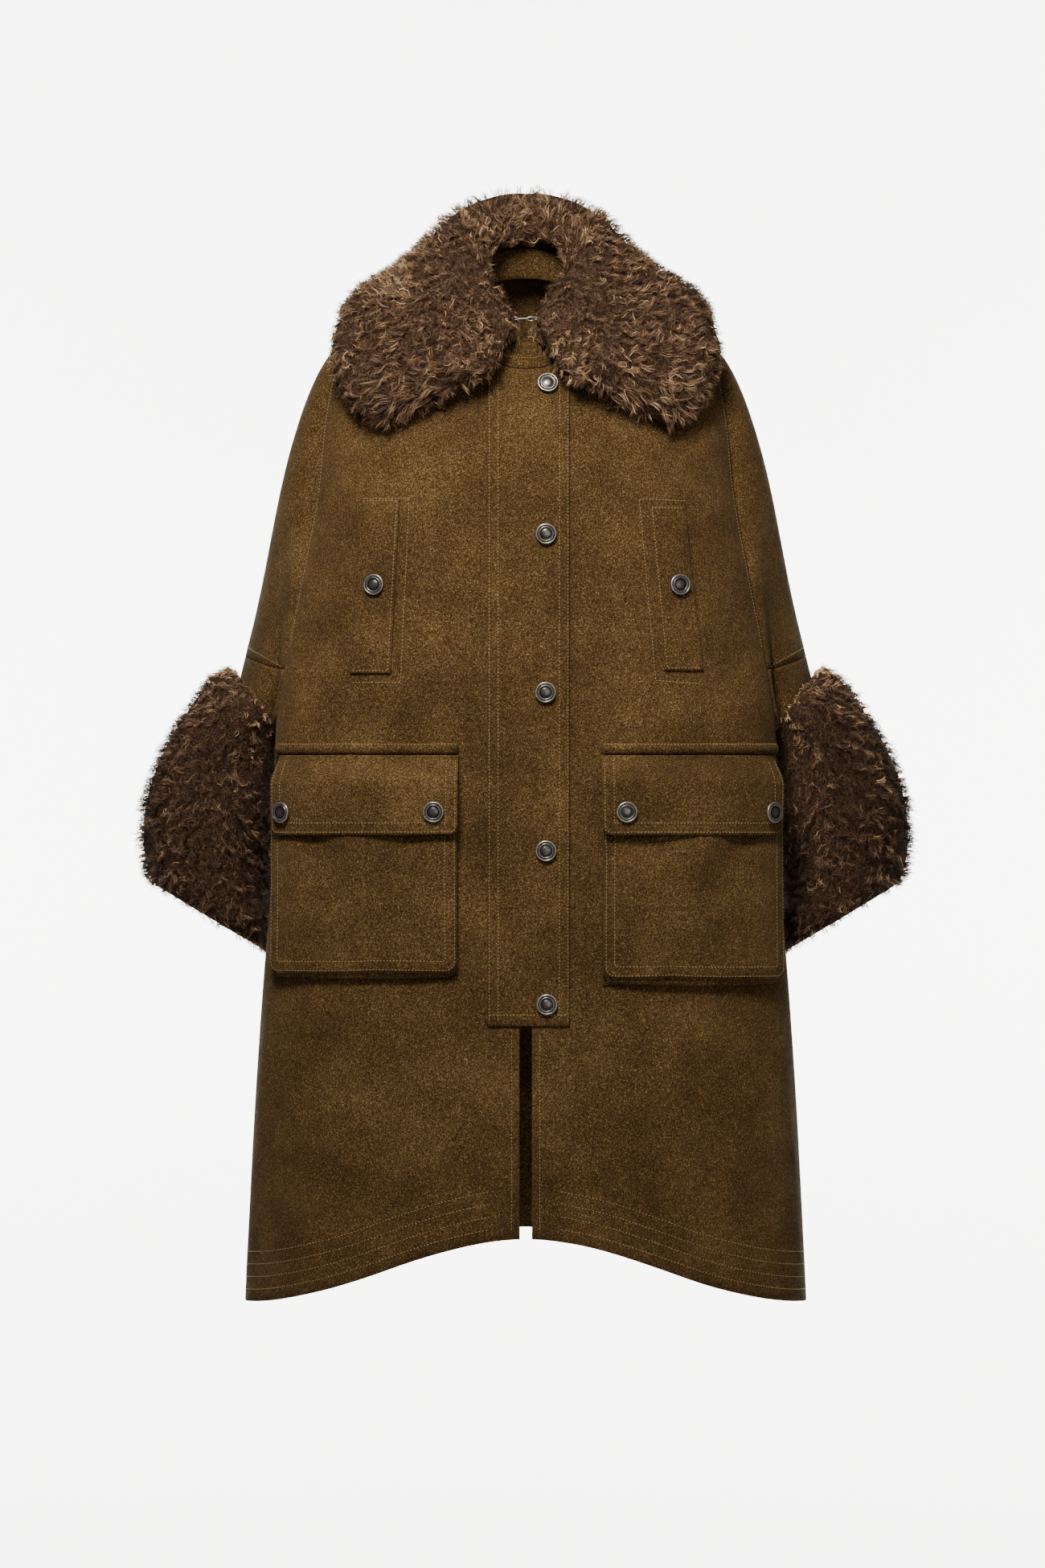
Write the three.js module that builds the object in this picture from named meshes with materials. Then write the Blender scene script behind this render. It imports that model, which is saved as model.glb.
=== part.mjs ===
// A knee-length cape coat of felted loden with a fur collar and wide fur cuffs, filled out as if worn.
// Millimetres, +Z up, the front faces -Y. The origin is where the shoulders carry the coat: on the
// centre line, level with the shoulder tips. Left and right are the viewer's, seen from the front.
import * as THREE from 'three';

const CLOTH = 2.6; // thickness of the felted loden
const LAID = 1.25; // gap under a piece that is laid on a strongly curved place
const SEAM = 0.35; // gap between two pieces at a seam
const HEM_FRONT = -962; // hem height at the centre front
const HEM_BACK = -956; // hem height at the centre back
const HEM_SIDE = -1031; // hem height at the sides, where it hangs lowest
const VENT_HALF = 6.5; // half the width of the open front vent below the placket
const VENT_TOP = -735; // the placket's lower end
const VENT_OPENS = 70; // the length over which the front edges part below the placket
const EDGE_GAP = 0.6; // half the gap between the front edges under the placket
const SIDE_DROP = 1.5; // how quickly a sloping loop drops from the side to its front and back

// The coat's outline as stations down the body. Each is a closed loop round the body: its height at the
// centre front, at the side and at the centre back, its half width, where its front, back and widest
// point lie, and how square its front half and its back half are (2 is an ellipse).
const STATION_COLUMNS = ['zFront', 'zSide', 'zBack', 'half', 'yFront', 'yBack', 'ySide', 'square', 'soft'];
const STATIONS = [
  [-31.5, 46, 72, 74, -98, 74, 6, 2.5, 2.0],
  [-54, 28, 50, 136, -109, 100, 4, 2.3, 2.0],
  [-84, 3, 6, 196, -121, 118, 0, 2.1, 2.0],
  [-122, -62, -64, 219, -131, 128, -8, 2.2, 2.0],
  [-170, -170, -170, 231, -138, 136, -16, 2.3, 1.9],
  [-250, -250, -250, 246, -143, 144, -26, 2.35, 1.8],
  [-340, -340, -340, 262, -147, 153, -38, 2.4, 1.7],
  [-430, -430, -430, 269, -150, 161, -56, 2.4, 1.66],
  [-560, -560, -560, 272, -154, 169, -56, 2.4, 1.7],
  [-700, -700, -700, 283, -160, 177, -42, 2.35, 1.8],
  [-843, -843, -843, 292.5, -170, 187, -24, 2.3, 1.95],
  [-1040, -1040, -1040, 302.5, -188, 202, -8, 2.25, 2.1],
].map((row) => Object.fromEntries(STATION_COLUMNS.map((key, i) => [key, row[i]])));
const LEVEL_STATION = 4; // from this station down every loop is level

// Soft folds of the skirt: where they lie round the body in degrees from the centre front, how wide
// they are, how far they stand out at the hem, and the height where they start.
const FOLDS = [
  { angle: -20, spread: 7, depth: 7, top: -560 },
  { angle: -8, spread: 4, depth: -4, top: -740 },
  { angle: 11, spread: 6, depth: 6, top: -600 },
  { angle: 38, spread: 10, depth: -5, top: -700 },
  { angle: -52, spread: 10, depth: 4, top: -700 },
  { angle: 118, spread: 10, depth: 6, top: -520 },
  { angle: 150, spread: 11, depth: -8, top: -420 },
  { angle: 180, spread: 9, depth: 9, top: -360 },
  { angle: -145, spread: 11, depth: -7, top: -450 },
  { angle: -116, spread: 10, depth: 6, top: -540 },
];

// The armhole, a rounded slot in the body's side: its top and bottom stations, how far its front and
// back edges lie from the side in degrees, how far behind the side its lowest point and the side seam
// below it lie, and how square its ends are.
const ARMHOLE = { top: 2.08, bottom: 6.93, front: 14, back: 30, under: 20, square: 3.6 };

// The end of the sleeve, where the cuff is sewn on, and the cuff's lower end. Each is a tilted ellipse.
const SLEEVE_END = { x: 282.5, y: 50, z: -400, across: 38, deep: 84, tilt: 40 };
const CUFF_END = { x: 338, y: 66, z: -616, across: 94, deep: 118, tilt: 31 };
const CUFF_GAP = 0.6; // gap between the sleeve's end and the cuff
const CUFF_BOW = 26; // how far the cuff's middle bows outward
const BAND_SEAM = { outer: -338, edge: -352 }; // height of the stitched seam above the cuff
const FUR = 36; // how far the cuff's fur stands off its inner tube

const lerp = (a, b, t) => a + (b - a) * t;
const clamp01 = (t) => Math.min(1, Math.max(0, t));
const smooth = (t) => clamp01(t) ** 2 * (3 - 2 * clamp01(t));
const radians = (degrees) => (degrees * Math.PI) / 180;

// One value between four neighbours, on a smooth curve through the middle two.
function between(before, from, to, after, t) {
  const slope = (to - before) / 2;
  const next = (after - from) / 2;
  const bend = 3 * (to - from) - 2 * slope - next;
  const turn = 2 * (from - to) + slope + next;
  return from + slope * t + bend * t * t + turn * t * t * t;
}

function station(s) {
  const last = STATIONS.length - 1;
  const i = Math.min(last - 1, Math.max(0, Math.floor(s)));
  const rows = [Math.max(0, i - 1), i, i + 1, Math.min(last, i + 2)].map((k) => STATIONS[k]);
  const value = (key) => between(...rows.map((row) => row[key]), s - i);
  return Object.fromEntries(Object.keys(rows[0]).map((key) => [key, value(key)]));
}

function foldAt(theta, z) {
  const degrees = (theta * 180) / Math.PI;
  return FOLDS.reduce((sum, fold) => {
    const away = ((degrees - fold.angle + 540) % 360) - 180;
    const grown = smooth((fold.top - z) / (fold.top - HEM_FRONT));
    return sum + fold.depth * grown * Math.exp(-((away / fold.spread) ** 2));
  }, 0);
}

// The body's outer surface. theta goes round from the centre front (0) by the right side (90 degrees)
// to the centre back (180); s goes down the stations.
function bodyPoint(theta, s) {
  const at = station(s);
  const side = Math.sin(theta);
  const ahead = Math.cos(theta);
  const power = 2 / (ahead > 0 ? at.square : at.soft);
  const end = ahead > 0 ? at.yFront : at.yBack;
  const endZ = ahead > 0 ? at.zFront : at.zBack;
  const z = lerp(at.zSide, endZ, Math.abs(ahead) ** SIDE_DROP);
  const fold = foldAt(theta, z);
  const x = Math.sign(side) * at.half * Math.abs(side) ** power;
  const y = at.ySide + (end - at.ySide) * Math.abs(ahead) ** power;
  return new THREE.Vector3(x + fold * side, y - fold * ahead, z);
}

function stationAtHeight(z) {
  let low = LEVEL_STATION;
  let high = STATIONS.length - 1;
  for (let step = 0; step < 30; step += 1) {
    const middle = (low + high) / 2;
    if (station(middle).zSide > z) low = middle;
    else high = middle;
  }
  return (low + high) / 2;
}

// The angle on a level loop that lies a given length of cloth away from the centre front.
function angleAtLength(length, s) {
  const step = radians(1.2);
  let before = bodyPoint(0, s);
  let run = 0;
  for (let theta = step; theta < Math.PI; theta += step) {
    const here = bodyPoint(theta, s);
    const piece = here.distanceTo(before);
    if (run + piece > length) return theta - step * (1 - (length - run) / piece);
    run += piece;
    before = here;
  }
  return Math.PI;
}

function unitNormal(surface, u, v) {
  const step = 1e-3;
  const along = surface(u + step, v).sub(surface(u - step, v));
  const down = surface(u, v + step).sub(surface(u, v - step));
  return along.cross(down).normalize();
}

const bodyNormal = (theta, s) => unitNormal(bodyPoint, theta, s).negate();
const offBody = (theta, s, off) => bodyPoint(theta, s).addScaledVector(bodyNormal(theta, s), off);

function material(name, hex, roughness, metalness = 0) {
  const made = new THREE.MeshStandardMaterial({ color: hex, roughness, metalness });
  made.name = name;
  return made;
}
const loden = material('loden', 0x6c5029, 0.95);
const fur = material('fur', 0x50392a, 0.9);
const pewter = material('pewter', 0x7d7568, 0.42, 0.9);

function signedVolume(points, faces) {
  const volumes = faces.map(([a, b, c]) => points[a].dot(points[b].clone().cross(points[c])) / 6);
  return volumes.reduce((sum, one) => sum + one, 0);
}

function closedMesh(name, points, faces, look) {
  const outwards = signedVolume(points, faces) > 0 ? faces : faces.map(([a, b, c]) => [a, c, b]);
  const geometry = new THREE.BufferGeometry().setFromPoints(points);
  geometry.setIndex(outwards.flat());
  geometry.computeVertexNormals();
  const mesh = new THREE.Mesh(geometry, look);
  mesh.name = name;
  return mesh;
}

// A wall of cloth between two grids of points, outer and inner, each a list of rows. It is closed at
// its four edges, or only at its two ends where the rows run all round (ring).
function wall(name, outer, inner, look, ring = false) {
  const rows = outer.length;
  const columns = outer[0].length;
  const points = [...outer.flat(), ...inner.flat()];
  const inside = rows * columns;
  const at = (i, j) => i * columns + (j % columns);
  const faces = [];
  const quad = (a, b, c, d) => faces.push([a, b, c], [a, c, d]);
  const lastColumn = ring ? columns : columns - 1;
  for (let i = 0; i < rows - 1; i += 1) {
    for (let j = 0; j < lastColumn; j += 1) {
      const [a, b, c, d] = [at(i, j), at(i, j + 1), at(i + 1, j + 1), at(i + 1, j)];
      quad(a, b, c, d);
      quad(inside + d, inside + c, inside + b, inside + a);
    }
  }
  for (let j = 0; j < lastColumn; j += 1) {
    quad(at(0, j + 1), at(0, j), inside + at(0, j), inside + at(0, j + 1));
    quad(at(rows - 1, j), at(rows - 1, j + 1), inside + at(rows - 1, j + 1), inside + at(rows - 1, j));
  }
  for (let i = 0; i < rows - 1 && !ring; i += 1) {
    const end = columns - 1;
    quad(at(i, 0), at(i + 1, 0), inside + at(i + 1, 0), inside + at(i, 0));
    quad(at(i + 1, end), at(i, end), inside + at(i, end), inside + at(i + 1, end));
  }
  return closedMesh(name, points, faces, look);
}

// A thick shape swept round a closed path: each row is one closed profile.
function ringOfProfiles(name, profiles, look, closed) {
  const count = profiles[0].length;
  const faces = [];
  const rows = closed ? profiles.length : profiles.length - 1;
  const at = (i, j) => (i % profiles.length) * count + (j % count);
  for (let i = 0; i < rows; i += 1) {
    for (let j = 0; j < count; j += 1) {
      faces.push([at(i, j), at(i, j + 1), at(i + 1, j + 1)], [at(i, j), at(i + 1, j + 1), at(i + 1, j)]);
    }
  }
  const points = profiles.flat();
  if (!closed) {
    [0, profiles.length - 1].forEach((i) => {
      const middle = points.length;
      const centre = new THREE.Vector3();
      profiles[i].forEach((point) => centre.addScaledVector(point, 1 / count));
      points.push(centre);
      for (let j = 0; j < count; j += 1) {
        faces.push(i === 0 ? [middle, at(i, j + 1), at(i, j)] : [middle, at(i, j), at(i, j + 1)]);
      }
    });
  }
  return closedMesh(name, points, faces, look);
}

// A panel that is part of the body's own surface. edge(v) gives its station and its two end angles.
function bodyPanel(name, rows, columns, edge) {
  const grid = (off) =>
    rows.map((v) => {
      const { s, from, to } = edge(v);
      return Array.from({ length: columns + 1 }, (_, j) => {
        const theta = lerp(from, to, j / columns);
        return offBody(theta, typeof s === 'function' ? s(theta) : s, off);
      });
    });
  return wall(name, grid(0), grid(-CLOTH), loden);
}

// The station of the hem at an angle: it hangs lower at the sides than at the front and back.
function hemStation(theta) {
  const at = STATIONS[STATIONS.length - 1];
  const share = Math.abs(Math.sin(theta)) ** (2 / at.square);
  const middle = Math.cos(theta) > 0 ? HEM_FRONT : HEM_BACK;
  return stationAtHeight(lerp(middle, HEM_SIDE, smooth(share)));
}

// How far the armhole's edge lies from the side, as a share of its full reach, at a station.
function armholeShare(s) {
  const half = (ARMHOLE.bottom - ARMHOLE.top) / 2;
  const off = Math.abs((s - ARMHOLE.top) / half - 1);
  return off >= 1 ? 0 : (1 - off ** ARMHOLE.square) ** (1 / ARMHOLE.square);
}

const SIDE = Math.PI / 2;

// The angle of the armhole's front or back edge at a station, or of the seam above or below it.
function armholeEdge(s, front) {
  const share = armholeShare(s);
  const middle = (ARMHOLE.top + ARMHOLE.bottom) / 2;
  const behind = s > middle ? ARMHOLE.under * (1 - share) : 0;
  return SIDE + radians(behind + share * (front ? -ARMHOLE.front : ARMHOLE.back));
}

// The side seam below the armhole drifts forward to the hem.
const seamShift = (v) => radians(ARMHOLE.under - 8) * smooth(v - ARMHOLE.bottom);

const FRONT_COLUMNS = 11;
const BACK_COLUMNS = 17;
const SHOULDER_ROWS = 4;
const ARMHOLE_ROWS = 15;
const SKIRT_ROWS = 10;

// Rows of stations from the neck down to the hem, closest together at the armhole's round ends.
const panelRows = [
  ...Array.from({ length: SHOULDER_ROWS }, (_, i) => (ARMHOLE.top * i) / SHOULDER_ROWS),
  ...Array.from({ length: ARMHOLE_ROWS + 1 }, (_, i) => {
    const share = (1 - Math.cos((Math.PI * i) / ARMHOLE_ROWS)) / 2;
    return lerp(ARMHOLE.top, ARMHOLE.bottom, share);
  }),
  ...Array.from({ length: SKIRT_ROWS }, (_, i) => ARMHOLE.bottom + (i + 1) / SKIRT_ROWS),
];

// Below the armhole a row's share of the way to the hem becomes a station at each angle.
function rowStation(v) {
  const down = v - ARMHOLE.bottom;
  return down <= 0 ? v : (theta) => lerp(ARMHOLE.bottom, hemStation(theta), down);
}

// The angle of a front edge: close to the centre under the placket, apart at the vent.
function centreGap(v) {
  const s = v <= ARMHOLE.bottom ? v : lerp(ARMHOLE.bottom, hemStation(0), v - ARMHOLE.bottom);
  const z = station(s).zFront;
  const gap = lerp(EDGE_GAP, VENT_HALF, smooth((VENT_TOP + VENT_OPENS - z) / VENT_OPENS));
  return Math.asin(clamp01(gap / station(s).half) ** (station(s).square / 2));
}

const sideGap = (s) => 0.004 + SEAM / 2 / station(s).half; // half the side seam's gap, as an angle

function frontPanel(side) {
  return bodyPanel(side > 0 ? 'front_right' : 'front_left', panelRows, FRONT_COLUMNS, (v) => {
    const s = Math.min(v, ARMHOLE.bottom);
    const reach = armholeEdge(s, true) - seamShift(v) - sideGap(s);
    return { s: rowStation(v), from: side * centreGap(v), to: side * reach };
  });
}

const backPanel = bodyPanel('back', panelRows, BACK_COLUMNS, (v) => {
  const s = Math.min(v, ARMHOLE.bottom);
  const reach = armholeEdge(s, false) - seamShift(v) + sideGap(s);
  return { s: rowStation(v), from: reach, to: 2 * Math.PI - reach };
});

// The sleeve's head lies just inside the armhole: how far it is turned and set down from the edge, how
// much higher its underarm sits, and how round the last part of the underarm is.
const SLEEVE_HEAD = { turned: 0.45, down: 0.012, raised: 0.008, underarm: 0.2 };

// How the sleeve leaves the armhole and arrives at the cuff, at its top and at its underarm: the share
// of its length that it keeps each direction for, and those directions.
const SLEEVE_CURVE = {
  top: { leave: 0.14, fall: -0.46, arrive: 0.38, outward: 0.25 },
  under: { leave: 0.25, fall: 0, arrive: 0.25, outward: 0.5 },
};

// The sleeve as a tube for the right arm: t goes round from its top (0) by its front (90 degrees) to
// the underarm (180); v goes from the armhole (0) to the cuff (1). The left sleeve is its mirror image.
function armholePoint(t) {
  const half = (ARMHOLE.bottom - ARMHOLE.top) / 2;
  const down = 1 - Math.cos(t);
  const s = ARMHOLE.top + half * down;
  const turned = radians(SLEEVE_HEAD.turned) * Math.max(-1, Math.min(1, 4 * Math.sin(t)));
  const edge = armholeEdge(s, Math.sin(t) > 0) + turned;
  const underarm = smooth((-Math.cos(t) - 1 + SLEEVE_HEAD.underarm) / SLEEVE_HEAD.underarm);
  const inside = s + SLEEVE_HEAD.down * Math.cos(t) - SLEEVE_HEAD.raised * underarm;
  const sunk = 1 - underarm;
  return offBody(edge, inside, -(CLOTH + SEAM) * sunk);
}

function tiltedEllipse(ring, t, grow = 0, lift = 0) {
  const tilt = radians(ring.tilt);
  const out = (ring.across + grow) * Math.cos(t);
  const away = (ring.deep + grow) * Math.sin(t);
  const x = ring.x + out * Math.cos(tilt) - lift * Math.sin(tilt);
  const z = ring.z + out * Math.sin(tilt) + lift * Math.cos(tilt);
  return new THREE.Vector3(x, ring.y - away, z);
}

function sleevePoint(t, v) {
  const start = armholePoint(t);
  const end = tiltedEllipse(SLEEVE_END, t);
  const reach = start.distanceTo(end);
  const top = (1 + Math.cos(t)) / 2;
  const curve = (key) => lerp(SLEEVE_CURVE.under[key], SLEEVE_CURVE.top[key], top);
  const leave = new THREE.Vector3(1, 0.1 * Math.sin(t), curve('fall')).normalize();
  const arrive = new THREE.Vector3(curve('outward'), 0, -1).normalize();
  const first = start.clone().addScaledVector(leave, reach * curve('leave'));
  const second = end.clone().addScaledVector(arrive, -reach * curve('arrive'));
  return new THREE.CubicBezierCurve3(start, first, second, end).getPoint(v);
}

// Where the stitched seam above the cuff crosses the sleeve: the share of its length, 0 at the armhole.
function bandShare(t) {
  const wrapped = Math.abs(Math.atan2(Math.sin(t), Math.cos(t)));
  let low = 0;
  let high = 1;
  for (let step = 0; step < 24; step += 1) {
    const middle = (low + high) / 2;
    const point = sleevePoint(t, middle);
    const line = lerp(BAND_SEAM.outer, BAND_SEAM.edge, smooth(wrapped / 2));
    if (point.z > line) low = middle;
    else high = middle;
  }
  return low;
}

const mirrored = (grid, side) => grid.map((row) => row.map((p) => new THREE.Vector3(side * p.x, p.y, p.z)));

// The sleeve's wall, outer and inner. Its end is cut square, in the plane of the cuff's seam.
function sleeveGrids(parameters) {
  const outer = parameters.map((row) => row.map(([t, v]) => sleevePoint(t, v)));
  const inner = parameters.map((row) =>
    row.map(([t, v]) => {
      if (v > 0.999) return tiltedEllipse(SLEEVE_END, t, -CLOTH);
      const outwards = unitNormal(sleevePoint, t, v * 0.996 + 0.002);
      return sleevePoint(t, v).addScaledVector(outwards, -CLOTH);
    }),
  );
  return [outer, inner];
}

const AROUND = 2 * ARMHOLE_ROWS;
const BAND_EDGE = 11; // the stitched seam meets the armhole this many steps round from the top
const SLEEVE_ROWS = 6;

function upperSleeve(side) {
  const parameters = Array.from({ length: SLEEVE_ROWS + 1 }, (_, i) =>
    Array.from({ length: 2 * BAND_EDGE + 1 }, (_, j) => {
      const t = ((j - BAND_EDGE) / AROUND) * 2 * Math.PI;
      return [t * 0.998, (bandShare(t) - 0.003) * (i / SLEEVE_ROWS) + 0.001];
    }),
  );
  const [outer, inner] = sleeveGrids(parameters);
  const name = side > 0 ? 'sleeve_right' : 'sleeve_left';
  return wall(name, mirrored(outer, side), mirrored(inner, side), loden);
}

function sleeveBand(side) {
  const parameters = [0, 0.5, 1].map((share) =>
    Array.from({ length: AROUND }, (_, j) => {
      const t = (j / AROUND) * 2 * Math.PI;
      return [t, lerp(bandShare(t) + 0.003, 1, share)];
    }),
  );
  const [outer, inner] = sleeveGrids(parameters);
  const name = side > 0 ? 'sleeve_band_right' : 'sleeve_band_left';
  return wall(name, mirrored(outer, side), mirrored(inner, side), loden, true);
}

// The cuff's profile at one angle round the arm: down the inside, round the lower edge, and back up
// the outside of the fur, which swells up round the sleeve's end. Each row gives how far down the cuff
// it lies, how far out in the fur, and how far it is lifted along the arm.
const CUFF_PROFILE = [
  { down: 0, out: -0.06, lift: -CUFF_GAP },
  { down: 0.33, out: -0.04, lift: 0 },
  { down: 0.66, out: 0, lift: 0 },
  { down: 0.93, out: 0.05, lift: 0 },
  { down: 1.0, out: 0.3, lift: -3 },
  { down: 1.01, out: 0.68, lift: 2 },
  { down: 0.93, out: 0.97, lift: 4 },
  { down: 0.75, out: 1.0, lift: 0 },
  { down: 0.5, out: 1.0, lift: 0 },
  { down: 0.25, out: 1.0, lift: 0 },
  { down: 0.06, out: 0.97, lift: 9 },
  { down: 0, out: 0.66, lift: 15 },
  { down: 0, out: 0.34, lift: 12 },
  { down: 0, out: 0.04, lift: -CUFF_GAP },
];

// Where the cuff is pressed flat under the arm: how far round this starts, over how many degrees it
// grows, how far down the cuff it fades out, and the share of the fur's depth that it takes.
const PRESSED = { from: 70, over: 40, down: 0.45, share: 0.9 };

function cuffPoint(t, row) {
  const ring = {};
  Object.keys(SLEEVE_END).forEach((key) => {
    const start = ['across', 'deep'].includes(key) ? SLEEVE_END[key] - CLOTH : SLEEVE_END[key];
    const end = ['across', 'deep'].includes(key) ? CUFF_END[key] - FUR : CUFF_END[key];
    ring[key] = lerp(start, end, row.down);
  });
  ring.x += CUFF_BOW * Math.sin(Math.PI * clamp01(row.down));
  const round = Math.abs(Math.atan2(Math.sin(t), Math.cos(t)));
  const under = smooth((round - radians(PRESSED.from)) / radians(PRESSED.over));
  const pressed = under * (1 - smooth(row.down / PRESSED.down));
  const pile = row.out * FUR * (1 - PRESSED.share * pressed) + CLOTH * (1 - row.down);
  const lift = row.lift > 0 ? lerp(-CUFF_GAP, row.lift, smooth(0.25 + 0.75 * Math.cos(t))) : row.lift;
  return tiltedEllipse(ring, t, pile, lift);
}

function furCuff(side) {
  const profiles = Array.from({ length: AROUND }, (_, j) => {
    const t = (j / AROUND) * 2 * Math.PI;
    return CUFF_PROFILE.map((row) => cuffPoint(t, row));
  });
  return ringOfProfiles(side > 0 ? 'fur_cuff_right' : 'fur_cuff_left', mirrored(profiles, side), fur, true);
}

// Two bands stand round the neck: the outer one shows its stitched edge between the collar's lobes,
// and the taller inner one carries the collar.
const NECK_BANDS = [
  { name: 'neck_band', inset: 0, height: 15, bottom: 0.5 },
  { name: 'collar_stand', inset: 3.6, height: 33, bottom: -3 },
];
const NECK_STEPS = 36;
const NECK_GAP = 0.3; // gap between the neck's edge and the outer band
const NECK_LEAN = 0.12; // how far the bands lean inward for their height
const NECK_CENTRE = 4; // how far behind the centre line the neck's middle lies

function neckBand({ name, inset, height, bottom }) {
  const row = (up, off) =>
    Array.from({ length: NECK_STEPS }, (_, j) => {
      const point = bodyPoint((j / NECK_STEPS) * 2 * Math.PI, 0);
      const inwards = new THREE.Vector3(-point.x, NECK_CENTRE - point.y, 0).normalize();
      return point.addScaledVector(inwards, inset + off + up * NECK_LEAN).add(new THREE.Vector3(0, 0, up));
    });
  const wallAt = (off) => [row(bottom, off), row(bottom + height, off)];
  const outer = wallAt(NECK_GAP);
  const inner = wallAt(NECK_GAP + CLOTH);
  return wall(name, outer, inner, loden, true);
}

// The collar from its front corner (0) to the centre back (1): where its foot leaves the neck seam, where
// its top stands on the neck and where its outer edge lies, as angles and a station on the body, how
// high it rolls above the neck, how thick its fur is halfway out, and how far the fur fills the neck.
const COLLAR = [
  { foot: 17, neck: 5, edge: 30, reach: 2.2, roll: 28, thick: 30, fill: 14 },
  { foot: 23, neck: 14, edge: 41, reach: 2.86, roll: 38, thick: 42, fill: 26 },
  { foot: 33, neck: 28, edge: 54, reach: 2.8, roll: 54, thick: 47, fill: 32 },
  { foot: 52, neck: 51, edge: 67, reach: 2.45, roll: 62, thick: 50, fill: 36 },
  { foot: 78, neck: 78, edge: 82, reach: 1.9, roll: 66, thick: 53, fill: 37 },
  { foot: 108, neck: 108, edge: 102, reach: 1.86, roll: 66, thick: 53, fill: 37 },
  { foot: 138, neck: 138, edge: 130, reach: 2.35, roll: 66, thick: 50, fill: 35 },
  { foot: 162, neck: 162, edge: 157, reach: 2.75, roll: 64, thick: 46, fill: 33 },
  { foot: 180, neck: 180, edge: 180, reach: 2.85, roll: 62, thick: 46, fill: 33 },
];
const COLLAR_SEAT = 31.2; // the collar sits on the stand this far above the neck seam
const COLLAR_CLEAR = 6.2; // the collar's underside lies this far above the body, over the yokes

function collarRow(a) {
  const last = COLLAR.length - 1;
  const i = Math.min(last - 1, Math.floor(a * last));
  const rows = [Math.max(0, i - 1), i, i + 1, Math.min(last, i + 2)].map((k) => COLLAR[k]);
  const t = a * last - i;
  return Object.fromEntries(
    Object.keys(COLLAR[0]).map((key) => [key, between(...rows.map((row) => row[key]), t)]),
  );
}

function collarProfile(a) {
  const row = collarRow(a);
  const onBody = (start, q, off) =>
    offBody(radians(lerp(start, row.edge, q)), lerp(0.02, row.reach, q), off);
  const place = (start, inside, up) => {
    const foot = onBody(start, 0, 0);
    const inwards = new THREE.Vector3(-foot.x, NECK_CENTRE - foot.y, 0).normalize();
    return foot.addScaledVector(inwards, inside).add(new THREE.Vector3(0, 0, up));
  };
  const roll = (inside, up) => place(row.neck, inside, COLLAR_SEAT + up);
  const under = (q, off) => onBody(row.neck, q, off);
  const beneath = [0.97, 0.8, 0.62, 0.44, 0.26, 0.1].map((q) => onBody(row.foot, q, COLLAR_CLEAR));
  const stand = [place(row.foot, -3, 3), roll(1.4, 0), roll(12, 0)];
  const over = new THREE.CatmullRomCurve3(
    [
      roll(12, 0),
      roll(row.fill, row.roll * 0.22),
      roll(row.fill * 0.9, row.roll * 0.62),
      roll(row.fill * 0.35, row.roll * 0.95),
      roll(-row.fill * 0.25, row.roll),
      under(0.34, row.thick * 1.2),
      under(0.62, row.thick),
      under(0.84, row.thick * 0.82),
      under(0.985, row.thick * 0.5),
      under(1.0, COLLAR_CLEAR + 5),
    ],
    false,
    'centripetal',
  );
  return [...beneath, ...stand, ...over.getPoints(13).slice(1)];
}

const COLLAR_STEPS = 36;

function furCollar() {
  const count = COLLAR_STEPS;
  const profiles = Array.from({ length: count + 1 }, (_, j) => {
    const share = (j / count) * 2 - 1;
    const profile = collarProfile(1 - Math.abs(share));
    const side = share < 0 ? 1 : -1;
    return profile.map((p) => new THREE.Vector3(side * p.x, p.y, p.z));
  });
  profiles[count / 2].forEach((p) => p.setX(0));
  return ringOfProfiles('fur_collar', profiles, fur, false);
}

// A patch laid on the front: corner(u, v) gives an angle and a station, off how far it stands out.
function patch(name, columns, rows, corner, off, thickness = CLOTH) {
  const grid = (extra) =>
    Array.from({ length: rows + 1 }, (_, i) =>
      Array.from({ length: columns + 1 }, (_, j) => {
        const [u, v] = [j / columns, i / rows];
        const [theta, s] = corner(u, v);
        return offBody(theta, s, (typeof off === 'function' ? off(u, v) : off) + extra);
      }),
    );
  return wall(name, grid(thickness), grid(0), loden);
}

const angleAtX = (x, s) => {
  const at = station(s);
  return Math.sign(x) * Math.asin(clamp01(Math.abs(x) / at.half) ** (at.square / 2));
};

const PLACKET = { left: -41, right: 47, top: 0.03, bottom: VENT_TOP, off: 0.5 };

function placket() {
  const end = stationAtHeight(PLACKET.bottom);
  return patch('placket', 6, 40, (u, v) => {
    const s = lerp(PLACKET.top, end, v);
    return [angleAtX(lerp(PLACKET.left, PLACKET.right, u), s), s];
  }, PLACKET.off);
}

// The slanted welts of the chest pockets, by the inner and outer edge at the top and the bottom.
const WELTS = [
  { side: 'left', top: -171, bottom: -358, topX: [-135, -177], bottomX: [-144, -187], buttonX: -161 },
  { side: 'right', top: -180, bottom: -355, topX: [132, 170], bottomX: [148, 189], buttonX: 163.5 },
];

const WELT_BUTTON_Z = -263;

function welt({ side, top, bottom, topX, bottomX }) {
  return patch(`chest_welt_${side}`, 3, 8, (u, v) => {
    const s = stationAtHeight(lerp(top, bottom, v));
    return [angleAtX(lerp(lerp(topX[0], topX[1], u), lerp(bottomX[0], bottomX[1], u), v), s), s];
  }, SEAM);
}

// The yoke patches on the front shoulders: their top, lower inner and lower outer stations, how far out
// their inner edge and the top and bottom of their outer edge lie, and the farthest angle round.
const YOKE = { top: 0.75, lowInner: 2.12, lowOuter: 2.72, innerX: 86, outerTopX: 124, farthest: 71 };
const YOKE_OUTER_X = { left: 188, right: 194 };

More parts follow.
